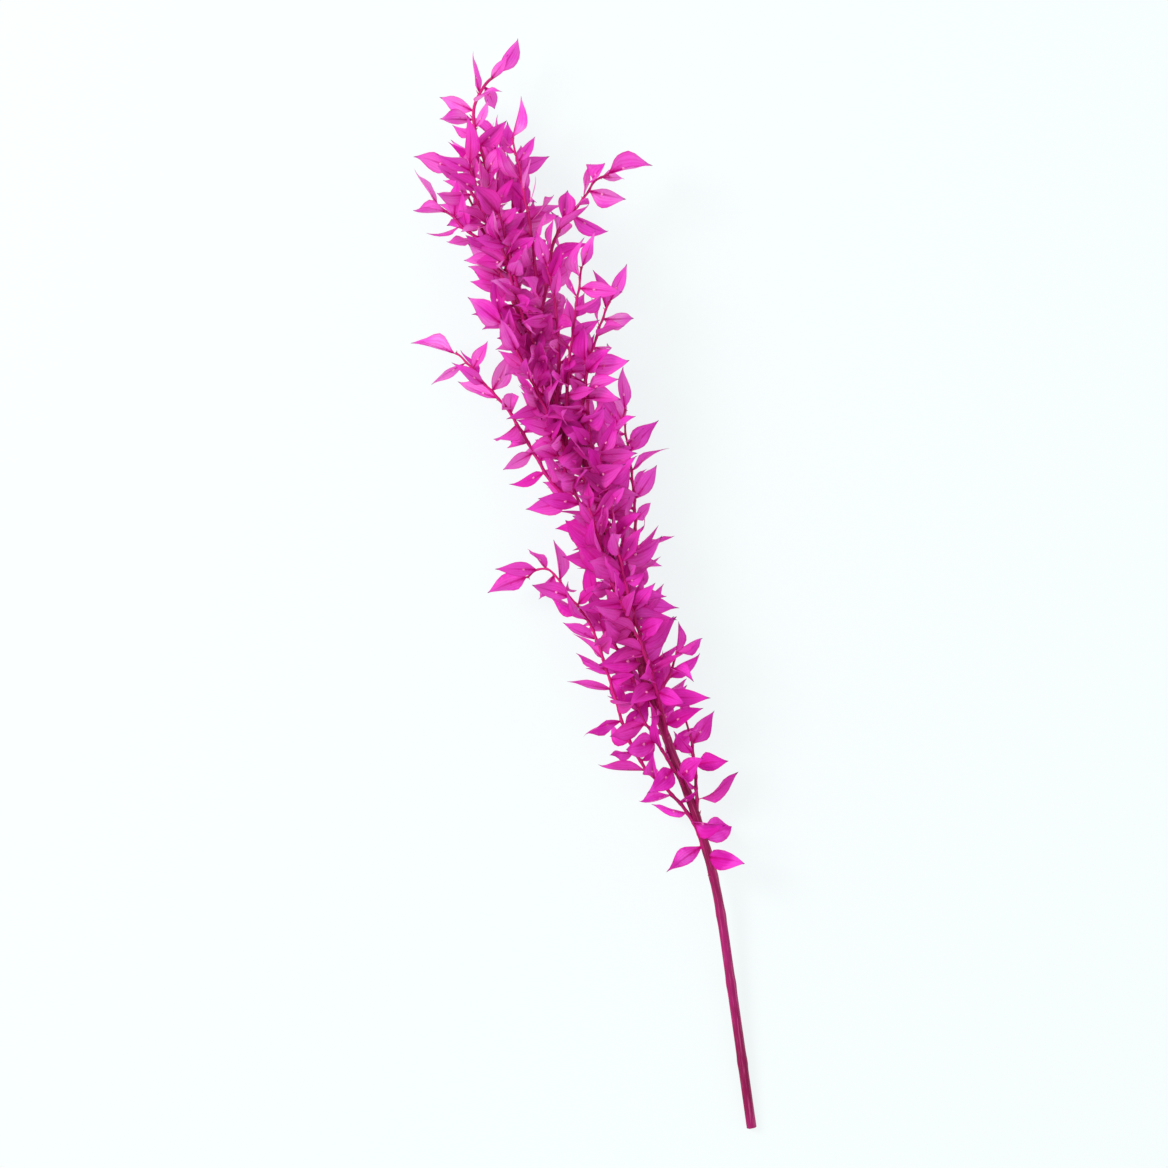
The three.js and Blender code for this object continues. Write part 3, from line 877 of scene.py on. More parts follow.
print("a leaf makes", TRIES_PER_LEAF, "tries")

# %% [markdown]
# The solid has one leaf in three, to stay light. Those come first here, with the same draws, so
# that each finer leaf takes the place of a plain one. All leaves could be drawn in one go, but
# then these would move. So the two in between are added afterwards by the same rule, each into
# what room is left.

# %% Place the solid's leaves, then the leaves in between
LEAF_GAP = 8.8  # along a shoot, from leaf to leaf, at its root
GAP_SHRINKS = 0.3  # by this share, towards a shoot's tip
BARE_END = 5  # before a shoot's last leaf
FIRST_LEAF = 13  # from a shoot's root
LAST_LEAF_INSIDE = 1  # how far before the end of its shoot the last leaf's root sits
STEM_LEAVES_FROM = 455
SOLID_HAS_ONE_IN = 3
LEAF_PLANE_PULL = 0.4  # towards the shoot's own leaf plane
STEM_ROLL = 0.2
STEM_SEED = 31
SHOOT_SEEDS = (53, 17)  # the first one, and the step to the next
LATER_SEEDS = 50000  # added for the leaves in between


def leaf_places(route, start):
    """Where leaves grow along a route, the last of them at its very end."""
    places = []
    distance = start
    while distance < route.total - BARE_END:
        places.append(distance)
        distance += LEAF_GAP * (1 - GAP_SHRINKS * distance / route.total)
    return places + [route.total - LAST_LEAF_INSIDE]


def opens_further(number):
    """How much further leaves open on the stem and on the shoots that stand free."""
    if number == 0:
        return LEADER_OPENS
    return FREE_OPENS if number <= len(HAND_SHOOTS) else 0


def leaves_along(number, route, roll, start, seed, room, in_solid):
    """The leaves of one route: those that the solid has too, or those in between."""
    draw = draws_from(seed)
    leaves = []
    places = leaf_places(route, start)
    opens = opens_further(number)
    for index, distance in enumerate(places):
        is_tip = index == len(places) - 1
        if (is_tip or index % SOLID_HAS_ONE_IN == 0) != in_solid:
            continue
        place = route.frame(distance)
        turn = index * SPIRAL_TURN
        azimuth = roll + turn - LEAF_PLANE_PULL * math.sin(2 * turn)
        near = room.near(place[0], number)
        best, most = None, -1
        for _ in range(TRIES_PER_LEAF):
            leaf = try_leaf(place, distance / route.total, azimuth, is_tip, opens, draw)
            gaps = markers(leaf)[:, None, :] - near[None, :, :]
            clear = np.min(np.sum(gaps ** 2, axis=2))
            if clear > most:
                best, most = leaf, clear
        best["width"] = LEAF_WIDTH * best["length"] * (1 + either(draw, LEAF_SPREAD["width"]))
        best["bend"] = LEAF_BEND + either(draw, LEAF_SPREAD["bend"])
        best["distance"] = distance
        best["route"] = number
        room.take(markers(best))
        leaves.append(best)
    return leaves


routes = [(STEM_ROLL, stem, STEM_LEAVES_FROM)]
routes += [(roll, route, FIRST_LEAF) for roll, route in shoots]
first_seed, seed_step = SHOOT_SEEDS
seeds = [STEM_SEED] + [first_seed + seed_step * index for index in range(len(shoots))]
room = Room()
for number, (_, route, _) in enumerate(routes):
    room.take(route.steps, number)
leaves = []
for in_solid, later in ((True, 0), (False, LATER_SEEDS)):
    for number, (roll, route, start) in enumerate(routes):
        seed = seeds[number] + later
        leaves += leaves_along(number, route, roll, start, seed, room, in_solid)
    print(len(leaves), "leaves so far")

# %% [markdown]
# ## The blades
#
# A ruscus leaf is thin, pointed, broadest below its middle, and folded a little along its
# midrib. Leaves, scales and buds are all laid out in the same way. Each could be a mesh of its
# own made in Python, but one Geometry Nodes tree makes them all from a pattern: one flat blade,
# across from -1 to 1, along from 0 to 1, with a small thickness. The tree copies it to every
# place and bends each copy by a formula, and the leaf's own bend, twist, cup and wave are
# numbers that its place carries. So a pattern of a few dozen faces gives hundreds of leaves, no
# two alike.

# %% Draw the pattern of a leaf
BLADE_STATIONS = [
    (0.00, 0.0), (0.04, 0.10), (0.10, 0.28), (0.20, 0.65), (0.31, 0.93), (0.43, 1.0),
    (0.56, 0.92), (0.69, 0.69), (0.81, 0.39), (0.91, 0.15), (1.0, 0.0),
]  # share of the length, share of the half width
BLADE_COLUMNS = (-1, -0.5, 0, 0.5, 1)
BLADE_THICKNESS = 0.00038  # metres, at the midrib


def pattern_object(name, corners, faces, halves, underside):
    """An object for a tree to copy. Its corners are a plan, and halves gives each its Half."""
    mesh = bpy.data.meshes.new(name)
    mesh.from_pydata(corners, [], faces)
    mesh.shade_smooth()
    flags = mesh.attributes.new("underside", "FLOAT", "FACE")
    flags.data.foreach_set("value", underside)
    unwrapped = mesh.uv_layers.new(name="blade_uv")
    for loop in mesh.loops:
        share = corners[loop.vertex_index][1]
        unwrapped.data[loop.index].uv = (0.5 + 0.5 * halves[loop.vertex_index], share)
    return bpy.data.objects.new(name, mesh)


def closed_blade(name, stations, columns, thickness):
    """A thin closed blade: two sheets that share their rim, their root and their tip."""
    corners, halves = [(0, 0, 0)], [0]
    inner = columns[1:-1]
    around = [(half, 1) for half in columns] + [(half, -1) for half in reversed(inner)]
    for share, width in stations[1:-1]:
        for half, face in around:
            lift = face * (1 - half ** 2) * thickness / 2
            corners.append((half * width, share, lift))
            halves.append(half)
    corners.append((0, 1, 0))
    halves.append(0)
    count, rings = len(around), len(stations) - 2
    faces, underside = [], []
    for side in range(count):
        other = (side + 1) % count
        below = 0.0 if side < len(columns) - 1 else 1.0
        faces.append((0, 1 + other, 1 + side))
        for ring in range(rings - 1):
            start = 1 + ring * count
            above = start + count
            faces.append((start + side, start + other, above + other, above + side))
        last = 1 + (rings - 1) * count
        faces.append((last + side, last + other, len(corners) - 1))
        underside += [below] * (rings + 1)
    blade = pattern_object(name, corners, faces, halves, underside)
    keep_rim_sharp(blade.data, rings, count, (0, len(columns) - 1))
    return blade


def keep_rim_sharp(mesh, rings, count, sides):
    """Marks the edges that run along a blade's two rims, so that it shades as two sheets."""
    rims = {frozenset((1 + ring * count + side, 1 + (ring + 1) * count + side))
            for ring in range(rings - 1) for side in sides}
    sharp = mesh.attributes.new("sharp_edge", "BOOLEAN", "EDGE")
    sharp.data.foreach_set("value", [frozenset(edge.vertices) in rims for edge in mesh.edges])


leaf_pattern = closed_blade("leaf_pattern", BLADE_STATIONS, BLADE_COLUMNS, BLADE_THICKNESS)
print("a leaf has", len(leaf_pattern.data.polygons), "faces")

# %% [markdown]
# The tree below is the formula of a blade. A chain of bend and twist modifiers could do this for
# one leaf, but not with other values for each. The tree starts from loose points, one for each
# place. What a point carries, such as its length or its twist, goes with every corner of its
# copy. Last, no corner is let through the surface: a leaf that comes down on it lies on it.

# %% Write what every tree needs


def new_tree(name, inputs):
    """A Geometry Nodes tree with a geometry in and out, and named inputs."""
    tree = bpy.data.node_groups.new(name, "GeometryNodeTree")
    tree.interface.new_socket("Geometry", in_out="INPUT", socket_type="NodeSocketGeometry")
    for label, kind in inputs:
        tree.interface.new_socket(label, in_out="INPUT", socket_type=kind)
    tree.interface.new_socket("Geometry", in_out="OUTPUT", socket_type="NodeSocketGeometry")
    return tree, tree.nodes.new("NodeGroupInput"), tree.nodes.new("NodeGroupOutput")


def carried(tree, name, kind="FLOAT"):
    """What the mesh carries under a name, as a field."""
    node = add_node(tree, "GeometryNodeInputNamedAttribute", {"Name": name}, data_type=kind)
    return Field(tree, node.outputs["Attribute"])


def stored(tree, geometry, name, value, kind="FLOAT_VECTOR"):
    """Writes a value on a geometry under a name."""
    node = add_node(tree, "GeometryNodeStoreNamedAttribute",
                    {"Geometry": geometry, "Name": name, "Value": value}, data_type=kind)
    return node.outputs[0]


def coordinates(tree, vector):
    """The three numbers of a vector, as fields."""
    node = add_node(tree, "ShaderNodeSeparateXYZ", {0: vector})
    return [Field(tree, output) for output in node.outputs]


def kept_above(tree, geometry, floor_height):
    """Lifts every corner that lies lower than the surface."""
    position = Field(tree, tree.nodes.new("GeometryNodeInputPosition").outputs[0])
    x, y, z = coordinates(tree, position)
    height = z.maths("MAXIMUM", floor_height)
    lifted = add_node(tree, "ShaderNodeCombineXYZ", {0: x, 1: y, 2: height})
    moved = add_node(tree, "GeometryNodeSetPosition",
                     {"Geometry": geometry, "Position": lifted.outputs[0]})
    return moved.outputs[0]


def finished(tree, geometry, given, result):
    """Ends a tree as every tree here ends: one real mesh, with its material."""
    real = add_node(tree, "GeometryNodeRealizeInstances", {"Geometry": geometry}).outputs[0]
    dressed = add_node(tree, "GeometryNodeSetMaterial",
                       {"Geometry": real, "Material": given.outputs["Material"]})
    feed(tree, result.inputs[0], dressed.outputs[0])


print("a tree keeps what it makes as one real mesh")

# %% Build the tree that bends a pattern into place
POINT_VECTORS = ("along", "across")
POINT_NUMBERS = ("length", "width", "bend", "curl", "sickle", "twist", "cup", "wave", "phase")
WAVES = 1.4  # along one edge
WAVE_LAG = 1.5  # radians between the midrib's wave and an edge's
FOLD = 1.25  # the blade's halves: 1 is a sharp fold at the midrib, 2 a round trough
CURL_POWER = 5  # the higher, the nearer to the tip a blade curls


def make_blade_tree():
    """Copies a flat pattern to every point, and bends each copy by what its point carries."""
    tree, given, result = new_tree(
        "bent_blades",
        [("Pattern", "NodeSocketObject"), ("Floor Height", "NodeSocketFloat"),
         ("Material", "NodeSocketMaterial")],
    )
    position = tree.nodes.new("GeometryNodeInputPosition").outputs[0]
    pattern = add_node(tree, "GeometryNodeObjectInfo", {"Object": given.outputs["Pattern"]})
    plan = stored(tree, pattern.outputs["Geometry"], "plan", position)
    points = add_node(tree, "GeometryNodeMeshToPoints", {"Mesh": given.outputs["Geometry"]})
    points = stored(tree, points.outputs[0], "root", position)
    copies = add_node(tree, "GeometryNodeInstanceOnPoints", {"Points": points, "Instance": plan})
    real = add_node(tree, "GeometryNodeRealizeInstances", {"Geometry": copies.outputs[0]})

    spread, share, lift = coordinates(tree, carried(tree, "plan", "FLOAT_VECTOR"))
    root = carried(tree, "root", "FLOAT_VECTOR")
    along, across = (carried(tree, name, "FLOAT_VECTOR") for name in POINT_VECTORS)
    length, width, bend, curl, sickle, twist, cup, wave, phase = (
        carried(tree, name) for name in POINT_NUMBERS)
    normal = along.vector_maths("CROSS_PRODUCT", across)
    angle = twist * share
    turned = across * angle.maths("COSINE") + normal * angle.maths("SINE")
    facing = normal * angle.maths("COSINE") - across * angle.maths("SINE")
    half_width = width * 0.5
    rim = spread.maths("ABSOLUTE").maths("POWER", FOLD)
    ripple = (share * (WAVES * 2 * math.pi) + phase + spread * WAVE_LAG).maths("SINE")
    rise = lift + cup * rim * half_width + ripple * wave * rim * half_width
    sideways = spread * half_width + sickle * length * share * share
    drop = (bend * share * share + curl * share.maths("POWER", CURL_POWER)) * length
    place = root + along * (share * length) + turned * sideways + facing * rise - normal * drop
    bent = add_node(tree, "GeometryNodeSetPosition",
                    {"Geometry": real.outputs[0], "Position": place})
    above = kept_above(tree, bent.outputs[0], lift + given.outputs["Floor Height"])
    finished(tree, above, given, result)
    return tree


blade_tree = make_blade_tree()
print("tree", blade_tree.name, "with", len(blade_tree.nodes), "nodes")

# %% [markdown]
# A tree works on an object as a modifier. It could stay there and be worked out at each render,
# but other programs can't run it. So it is used once: its inputs are set, its result is turned
# into a plain mesh, and the modifier goes, with the numbers that only the tree needed.

# %% Run a tree and keep its mesh
ONLY_FOR_TREES = {"plan", "root", "thickness", *POINT_VECTORS, *POINT_NUMBERS}


def run_tree(name, start_mesh, tree, **settings):
    """Makes one piece: runs a tree on a mesh and keeps what comes out."""
    piece = bpy.data.objects.new(name, start_mesh)
    bpy.context.scene.collection.objects.link(piece)
    modifier = piece.modifiers.new(tree.name, "NODES")
    modifier.node_group = tree
    for item in tree.interface.items_tree:
        if item.in_out == "INPUT" and item.name in settings:
            modifier[item.identifier] = settings[item.name]
    graph = bpy.context.evaluated_depsgraph_get()
    mesh = bpy.data.meshes.new_from_object(
        piece.evaluated_get(graph), preserve_all_data_layers=True, depsgraph=graph)
    piece.modifiers.clear()
    piece.data = mesh
    mesh.name = name
    for spent in ONLY_FOR_TREES & set(mesh.attributes.keys()):
        mesh.attributes.remove(mesh.attributes[spent])
    print(name, "has", sum(len(face.vertices) - 2 for face in mesh.polygons), "triangles")
    return piece


def points_that_carry(name, rows):
    """A mesh of loose points. Each row gives a place, in metres, and what the point carries."""
    mesh = bpy.data.meshes.new(name)
    mesh.vertices.add(len(rows))
    mesh.vertices.foreach_set("co", np.concatenate([row["place"] for row in rows]))
    for key in rows[0]:
        if key == "place":
            continue
        is_vector = key in POINT_VECTORS
        layer = mesh.attributes.new(key, "FLOAT_VECTOR" if is_vector else "FLOAT", "POINT")
        values = [row[key] for row in rows]
        flat = np.concatenate(values) if is_vector else values
        layer.data.foreach_set("vector" if is_vector else "value", flat)
    return mesh


print("not kept on a finished mesh:", sorted(ONLY_FOR_TREES))

# %% [markdown]
# ## The leaves
#
# Dried leaves are all a little different. A few patterns in turn would show as repeats, so each
# leaf gets a character of its own from one seeded source of chance: how much it cups, waves,
# twists and sickles, and how deep its dye is. Most leaves keep their upper side to the light, so
# the ones that face down are turned over, seven times in ten.

# %% Give each leaf its character, and make the leaves
CHARACTER_SEED = 7
TURNED_OVER = 0.7  # the share of the leaves that face down
# Leaves are deeper in tone nearer the cut: millimetres along the part, and how bright the tone
# may get
TONE_BY_HEIGHT = [(-130, 0.08), (60, 0.8), (260, 1.4)]
LEAF_WIDTHS = (0.72, 1.08)  # beside the width that the rule gives
LEAF_CUPS = (0, 1.15)
LEAF_WAVES = (0, 0.28)
LEAF_CURL, LEAF_SICKLE, LEAF_TWIST = 0.09, 0.075, 0.6  # the usual amount, either way
# Beta spreads, between 0 and 1: most tones lie in the middle, and most leaves have little painted
# sheen
LEAF_TONES, LEAF_SHEEN_SPREAD = (2, 2), (1, 5)
FLOOR_HEIGHT = 0.0004  # metres; what comes down on the surface stays this far above it


def leaf_row(leaf, chance):
    """What a leaf's point carries."""
    across, bend = leaf["across"], leaf["bend"]
    depth = from_table(TONE_BY_HEIGHT, leaf["root"][1])
    faces_down = np.cross(leaf["along"], across)[2] < 0
    if faces_down and chance.random() < TURNED_OVER:
        across, bend = -across, -bend
    return {
        "place": leaf["root"] * MM,
        "along": leaf["along"],
        "across": across,
        "length": leaf["length"] * MM,
        "width": leaf["width"] * chance.uniform(*LEAF_WIDTHS) * MM,
        "bend": bend,
        "curl": chance.normal(0, LEAF_CURL),
        "sickle": chance.normal(0, LEAF_SICKLE),
        "twist": chance.normal(0, LEAF_TWIST),
        "cup": chance.uniform(*LEAF_CUPS),
        "wave": chance.uniform(*LEAF_WAVES),
        "phase": chance.uniform(0, 2 * math.pi),
        "tone": chance.beta(*LEAF_TONES) * depth,
        # How much painted sheen this leaf gets all over
        "painted_sheen": chance.beta(*LEAF_SHEEN_SPREAD),
    }


chance = np.random.default_rng(CHARACTER_SEED)
leaf_rows = [leaf_row(leaf, chance) for leaf in leaves]
leaf_piece = run_tree("leaves", points_that_carry("leaf_points", leaf_rows), blade_tree,
                      Pattern=leaf_pattern, Material=dyed_leaf, **{"Floor Height": FLOOR_HEIGHT})

# %% [markdown]
# ## The wood
#
# Wood is never an even pipe. It swells a little at each leaf and turns there too, so that a
# shoot runs in a slight zigzag, it flares where it leaves the stem, and it is finely ridged. A
# curve with a round bevel would give a plain pipe. So stem and shoots are swept along their
# routes by a tree: a ring is carried from end to end and scaled by how thick the wood is there.
# The thickness is worked out here, and the ridges belong to the ring.

# %% Work out where the wood runs and how thick it is
STEM_RADII = [(0, 3.4), (0.2, 3.2), (0.56, 2.4), (0.62, 1.8), (0.85, 1.45), (1, 1)]
SHOOT_RADII = [(0, 1.3), (0.5, 1.1), (1, 0.7)]
STEM_STEP = 2.5  # millimetres, from ring to ring
SHOOT_STEP = 1.5
SWELLING = 0.32  # at each leaf, beside the shoot's radius
SWELLING_REACH = 1.3
FLARE = 1.1  # millimetres, where a shoot leaves the stem
FLARE_REACH = 2.4
ZIGZAG = 0.45  # towards each leaf
STEM_NODE_SWELLING = 0.10
STEM_NODE_REACH = 4.0
MOST_SWELLING = 1.2  # where nodes lie close together, beside one alone
BARE_NODES = (46, 101, 150, 196)  # along the bare foot, where leaves once stood


def bump_at(distances, centres, reach):
    """A sum of smooth bumps, 1 high, at some distances along a route."""
    total = np.zeros(len(distances))
    for centre in centres:
        total += np.exp(-((distances - centre) / reach) ** 2)
    return total


def nearest_distance(route, place):
    """How far along a route the nearest step to a place lies."""
    gaps = np.sum((route.steps - place) ** 2, axis=1)
    return route.lengths[np.argmin(gaps)]


def shoot_line(number, route):
    """A shoot's points, in millimetres, with their thickness and their running length."""
    own = sorted((leaf for leaf in leaves if leaf["route"] == number),
                 key=lambda leaf: leaf["distance"])
    distances = np.arange(0, route.total + SHOOT_STEP / 2, SHOOT_STEP)
    points = np.array([route.point(distance) for distance in distances])
    knots = [0] + [leaf["distance"] for leaf in own] + [route.total]
    pushes = [np.zeros(3)] + [leaf["out"] * ZIGZAG for leaf in own] + [np.zeros(3)]
    for axis in range(3):
        points[:, axis] += np.interp(distances, knots, [push[axis] for push in pushes])
    radii = from_table(SHOOT_RADII, distances / route.total)
    radii = radii * (1 + SWELLING * bump_at(distances, knots[1:-1], SWELLING_REACH))
    return points, radii + FLARE * np.exp(-distances / FLARE_REACH), distances


def stem_line():
    """The same for the main stem, which swells where shoots leave it."""
    distances = np.arange(0, stem.total + STEM_STEP / 2, STEM_STEP)
    points = np.array([stem.point(distance) for distance in distances])
    branchings = [nearest_distance(stem, route.steps[0]) for _, route in shoots]
    radii = from_table(STEM_RADII, distances / stem.total)
    swelling = bump_at(distances, branchings + list(BARE_NODES), STEM_NODE_REACH)
    swelling = STEM_NODE_SWELLING * np.minimum(swelling, MOST_SWELLING)
    return points, radii * (1 + swelling), distances


print("radius of the foot:", STEM_RADII[0][1], "mm, and of the stem's tip:", STEM_RADII[-1][1])

# %% Turn the lines into meshes


def line_mesh(name, lines):
    """One mesh of open lines, with the thickness and the running length at every point."""
    edges, first = [], 0
    for points, _, _ in lines:
        edges += [(first + step, first + step + 1) for step in range(len(points) - 1)]
        first += len(points)
    mesh = bpy.data.meshes.new(name)
    mesh.from_pydata(np.vstack([points for points, _, _ in lines]) * MM, edges, [])
    for key, column in (("thickness", 1), ("run", 2)):
        layer = mesh.attributes.new(key, "FLOAT", "POINT")
        layer.data.foreach_set("value", np.concatenate([line[column] for line in lines]) * MM)
    return mesh


stem_lines = [stem_line()]
shoot_lines = [shoot_line(number, route) for number, (_, route) in enumerate(shoots, start=1)]
print("steps along the wood:", sum(len(line[0]) for line in stem_lines + shoot_lines))

# %% [markdown]
# The tree for the wood is a ring with ridges, set along lines. Python could build the same rings
# and faces, but Curve to Mesh turns the ring with the line and closes both ends. The ring stores
# its plain round place before it gets its ridges, and that is the Ring that the bark reads.

# %% Sweep the wood along its routes
STEM_RING = {"Sides": 28, "Ridges": 7.0, "Ridge Depth": 0.035, "Floor Height": 0.0}
SHOOT_RING = {"Sides": 10, "Ridges": 5.0, "Ridge Depth": 0.06, "Floor Height": 0.0}


def make_wood_tree():
    """Sweeps a ridged ring along every line of a mesh."""
    tree, given, result = new_tree(
        "swept_wood",
        [("Sides", "NodeSocketInt"), ("Ridges", "NodeSocketFloat"),
         ("Ridge Depth", "NodeSocketFloat"), ("Floor Height", "NodeSocketFloat"),
         ("Material", "NodeSocketMaterial")],
    )
    position = tree.nodes.new("GeometryNodeInputPosition").outputs[0]
    turn = Field(tree, tree.nodes.new("GeometryNodeSplineParameter").outputs["Factor"])
    ring = add_node(tree, "GeometryNodeCurvePrimitiveCircle",
                    {"Resolution": given.outputs["Sides"], "Radius": 1.0})
    ring = stored(tree, ring.outputs["Curve"], "ring", position)
    ridges = (turn * 2 * math.pi * given.outputs["Ridges"]).maths("COSINE")
    ridged = Field(tree, position) * (ridges * given.outputs["Ridge Depth"] + 1)
    ring = add_node(tree, "GeometryNodeSetPosition", {"Geometry": ring, "Position": ridged})
    lines = add_node(tree, "GeometryNodeMeshToCurve", {"Mesh": given.outputs["Geometry"]})
    swept = add_node(tree, "GeometryNodeCurveToMesh",
                     {"Curve": lines.outputs[0], "Profile Curve": ring.outputs[0],
                      "Scale": carried(tree, "thickness"), "Fill Caps": True})
    smooth = add_node(tree, "GeometryNodeSetShadeSmooth", {"Geometry": swept.outputs[0]})
    above = kept_above(tree, smooth.outputs[0], given.outputs["Floor Height"])
    finished(tree, above, given, result)
    return tree


wood_tree = make_wood_tree()
stem_piece = run_tree("stem", line_mesh("stem_line", stem_lines), wood_tree,
                      Material=dyed_bark, **STEM_RING)
shoot_piece = run_tree("shoots", line_mesh("shoot_lines", shoot_lines), wood_tree,
                       Material=dyed_twig, **SHOOT_RING)

# %% [markdown]
# ## The cut
#
# Shears cut the foot, so its face is a little rough and bulged, and the soft pith has sunk. The
# flat cap that the sweep leaves could take the finish alone, but it has no depth and nothing to
# tell the pith from the bark. So the cut is a disc of rings over that cap. Each corner carries
# its Spoke, a flat vector from 0 at the pith to length 1 at the bark.

# %% Close the foot with its cut
# Each ring's share of the foot's radius, and its height in millimetres
CUT_RINGS = [(0.96, -0.5), (0.965, 0.12), (0.9, 0.28), (0.62, 0.34), (0.3, 0.36), (0.14, 0.2)]
CUT_SIDES = STEM_RING["Sides"]
CUT_ROUGHNESS = 0.05  # millimetres
ROUGH_ABOVE = 0.2  # the height from which a ring is rough
PITH_HEIGHT = 0.15
CUT_SEED = 3


def cut_mesh(chance):
    """A disc of rings and a middle point."""
    point, heading, up, side = stem.frame(0)
    radius = STEM_RADII[0][1]
    corners, spokes = [], []
    for share, height in CUT_RINGS:
        for step in range(CUT_SIDES):
            turn = 2 * math.pi * step / CUT_SIDES
            rough = chance.normal(0, CUT_ROUGHNESS) if height > ROUGH_ABOVE else 0
            spoke = side * math.cos(turn) + up * math.sin(turn)
            corner = point + spoke * share * radius - heading * (height + rough)
            corner[2] = max(corner[2], 0.0)
            corners.append(corner)
            spokes += [share * math.cos(turn), share * math.sin(turn), 0.0]
    corners.append(point - heading * PITH_HEIGHT)
    spokes += [0.0, 0.0, 0.0]
    faces, last = [], (len(CUT_RINGS) - 1) * CUT_SIDES
    for step in range(CUT_SIDES):
        other = (step + 1) % CUT_SIDES
        for start in range(0, last, CUT_SIDES):
            inner = start + CUT_SIDES
            faces.append((start + step, start + other, inner + other, inner + step))
        faces.append((last + step, last + other, len(corners) - 1))
    mesh = bpy.data.meshes.new("cut_end")
    mesh.from_pydata(np.array(corners) * MM, [], faces)
    mesh.attributes.new("spoke", "FLOAT_VECTOR", "POINT").data.foreach_set("vector", spokes)
    mesh.shade_smooth()
    mesh.materials.append(cut_wood)
    return mesh


cut_piece = bpy.data.objects.new("cut_end", cut_mesh(np.random.default_rng(CUT_SEED)))
bpy.context.scene.collection.objects.link(cut_piece)
print("the cut has", len(cut_piece.data.polygons), "faces")

# %% [markdown]
# ## Scales
#
# In ruscus the real leaves are tiny dry scales, and what looks like a leaf is a flattened shoot
# that grows above one. So a scale sits under every leaf, and a larger one where a shoot leaves
# the stem. They could be painted on the bark, but they stand out from it, so they are small
# blades from the tree that made the leaves, with a plainer pattern.

# %% Draw the pattern of a scale
SCALE_STATIONS = [(0.0, 0.0), (0.12, 0.8), (0.4, 0.9), (0.75, 0.4), (1.0, 0.0)]
SCALE_COLUMNS = (-1, 0, 1)
SCALE_THICKNESS = 0.0003
# Length, width and distance below what it holds, in millimetres; how far out it roots, beside
# the wood's radius; and the radians between it and the wood
LEAF_SCALE = {"length": 2.6, "width": 1.7, "below": 0.9, "out": 0.8, "opened": 0.75}
SHOOT_SCALE = {"length": 5.5, "width": 3.4, "below": 1.5, "out": 0.85, "opened": 0.45}
SHOOT_AIM = 12  # millimetres along a shoot, to see on which side of the stem it grows
SCALE_CUP, SCALE_WAVE = 0.7, 0.1
SCALE_SIZES = (0.75, 1.25)
SCALE_BENDS = (-0.05, 0.3)
SCALE_SICKLE = 0.06


def scale_row(point, heading, out, kind, chance):
    """What a scale's point carries. Its edges turn up towards what it holds."""
    opened = kind["opened"]
    along = heading * math.cos(opened) + out * math.sin(opened)
    facing = heading * math.sin(opened) - out * math.cos(opened)
    return {
        "place": point * MM,
        "along": along,
        "across": np.cross(facing, along),
        "length": kind["length"] * chance.uniform(*SCALE_SIZES) * MM,
        "width": kind["width"] * MM,
        "bend": chance.uniform(*SCALE_BENDS),
        "curl": 0.0,
        "sickle": chance.normal(0, SCALE_SICKLE),
        "twist": 0.0,
        "cup": SCALE_CUP,
        "wave": SCALE_WAVE,
        "phase": chance.uniform(0, 2 * math.pi),
        "tone": chance.random(),
    }


scale_pattern = closed_blade("scale_pattern", SCALE_STATIONS, SCALE_COLUMNS, SCALE_THICKNESS)
print("a scale has", len(scale_pattern.data.polygons), "faces")

# %% Seat a scale under every leaf and every shoot


def leaf_scale_row(leaf, chance):
    """The scale under a leaf."""
    kind = LEAF_SCALE
    _, route, _ = routes[leaf["route"]]
    table = SHOOT_RADII if leaf["route"] else STEM_RADII
    radius = from_table(table, leaf["distance"] / route.total)
    heading, out = leaf["heading"], leaf["out"]
    point = leaf["root"] - heading * kind["below"] + out * radius * kind["out"]
    return scale_row(point, heading, out, kind, chance)


def shoot_scale_row(route, chance):
    """The scale under a shoot, on the stem."""
    kind = SHOOT_SCALE
    distance = nearest_distance(stem, route.steps[0])
    point, heading, _, _ = stem.frame(distance)
    out = unit(route.point(SHOOT_AIM) - point)
    out = unit(out - heading * (out @ heading))
    radius = from_table(STEM_RADII, distance / stem.total)
    point = point + out * radius * kind["out"] - heading * kind["below"]
    return scale_row(point, heading, out, kind, chance)


scale_rows = [leaf_scale_row(leaf, chance) for leaf in leaves]
scale_rows += [shoot_scale_row(route, chance) for _, route in shoots]
scale_piece = run_tree("scales", points_that_carry("scale_points", scale_rows), blade_tree,
                       Pattern=scale_pattern, Material=dry_scale,
                       **{"Floor Height": FLOOR_HEIGHT})

# %% [markdown]
# ## Buds
#
# On the midrib of many leaves is the bud of a flower that never opened, pale and hardly larger
# than a pinhead. It could be a drop set on each finished leaf, but the leaf bends under it. So
# the drop is drawn in the leaf's own plan, and the tree bends it with the same numbers.

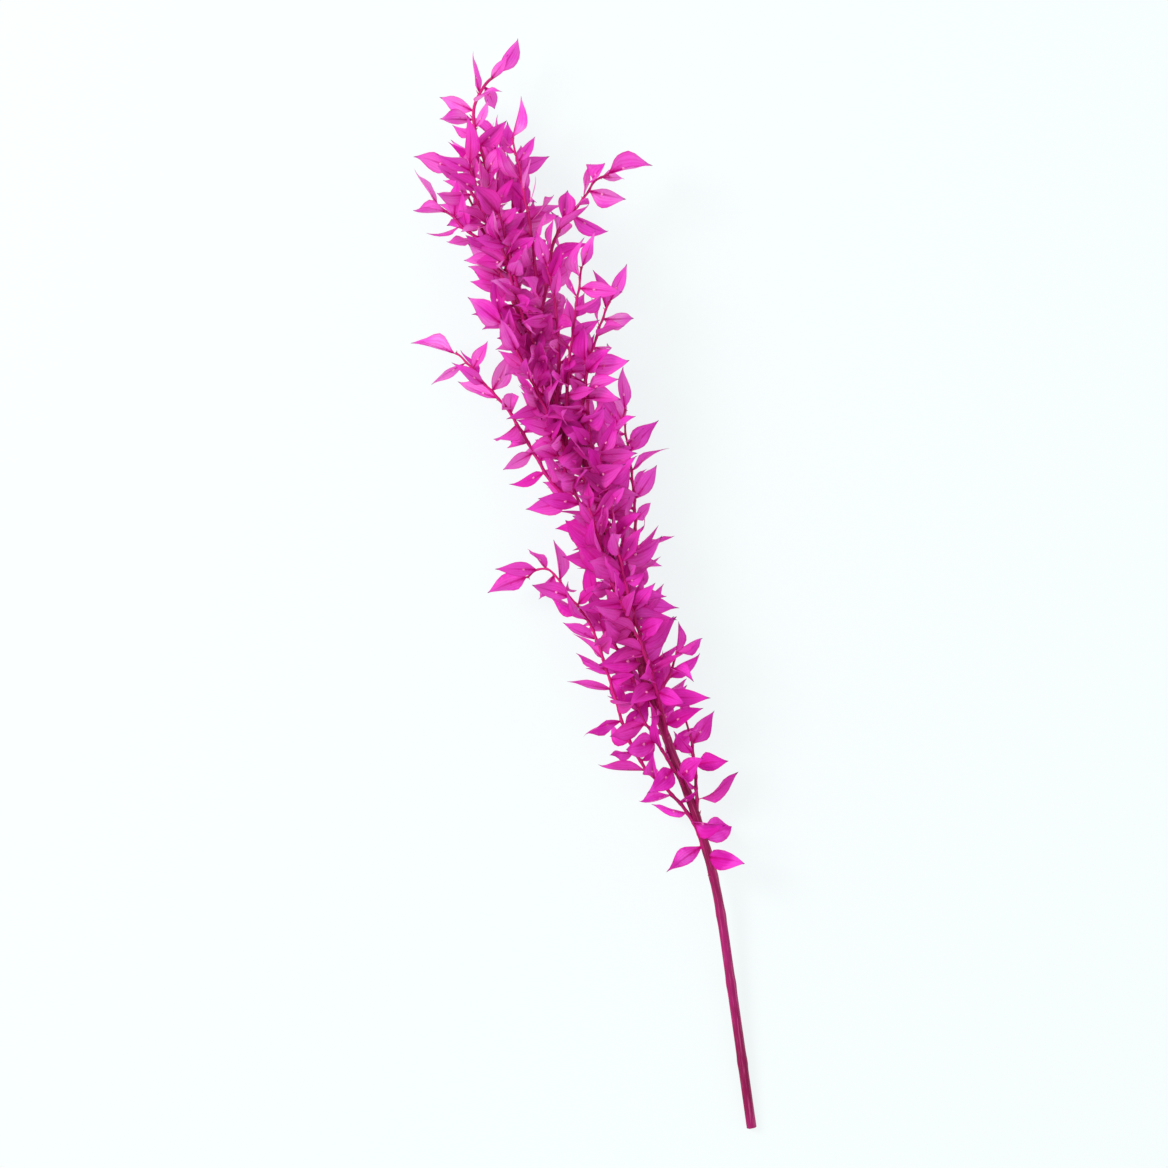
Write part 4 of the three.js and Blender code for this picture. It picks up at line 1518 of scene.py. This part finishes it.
# %% Make the buds
BUD_PLACE = 0.33  # share of the leaf's length
BUD_RINGS = [(0.1, 0.7), (0.4, 1.0), (0.75, 0.6)]  # share of its length, share of its radius
BUD_SIDES = 6
BUD_LENGTH = 0.075  # of the leaf's length
BUD_HALF_WIDTH = 0.15  # of the leaf's half width
BUD_HEIGHT = 0.0013  # metres
BUD_FOOT, BUD_MIDDLE, BUD_SWELL, BUD_POINT = 0.3, 0.45, 0.5, 0.6  # shares of that height
BUDDED = 0.6  # the share of leaves that have one


def bud_pattern():
    """A small pointed drop that lies on the midrib, in the plan that the tree bends."""
    corners = [(0, BUD_PLACE, BUD_HEIGHT * BUD_FOOT)]
    for share, radius in BUD_RINGS:
        along = BUD_PLACE + BUD_LENGTH * share
        for side in range(BUD_SIDES):
            turn = 2 * math.pi * side / BUD_SIDES
            across = BUD_HALF_WIDTH * radius * math.cos(turn)
            height = BUD_HEIGHT * (BUD_MIDDLE + BUD_SWELL * radius * math.sin(turn))
            corners.append((across, along, height))
    corners.append((0, BUD_PLACE + BUD_LENGTH, BUD_HEIGHT * BUD_POINT))
    faces = []
    last = 1 + (len(BUD_RINGS) - 1) * BUD_SIDES
    for side in range(BUD_SIDES):
        other = (side + 1) % BUD_SIDES
        faces.append((0, 1 + side, 1 + other))
        for start in range(1, last, BUD_SIDES):
            above = start + BUD_SIDES
            faces.append((start + side, above + side, above + other, start + other))
        faces.append((last + side, len(corners) - 1, last + other))
    return pattern_object("bud_pattern", corners, faces, [0] * len(corners), [0.0] * len(faces))


bud_rows = [row for row in leaf_rows if chance.random() < BUDDED]
bud_piece = run_tree("buds", points_that_carry("bud_points", bud_rows), blade_tree,
                     Pattern=bud_pattern(), Material=dry_bud,
                     **{"Floor Height": FLOOR_HEIGHT})

# %% [markdown]
# ## The pieces on their body
#
# All of the part's pieces ride on its one body. The plain solid could stay in view under them,
# but its flat leaves would show between the finer ones, so the pieces stand for it and it is
# hidden. The finer model must not outgrow that solid.

# %% Hand the pieces over
SLOTS = {
    leaf_piece: "leaf", stem_piece: "stem", shoot_piece: "stem",
    scale_piece: "bud", bud_piece: "bud", cut_piece: "cut",
}
for piece, slot in SLOTS.items():
    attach(piece, "root")
    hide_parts("ruscus_stem")
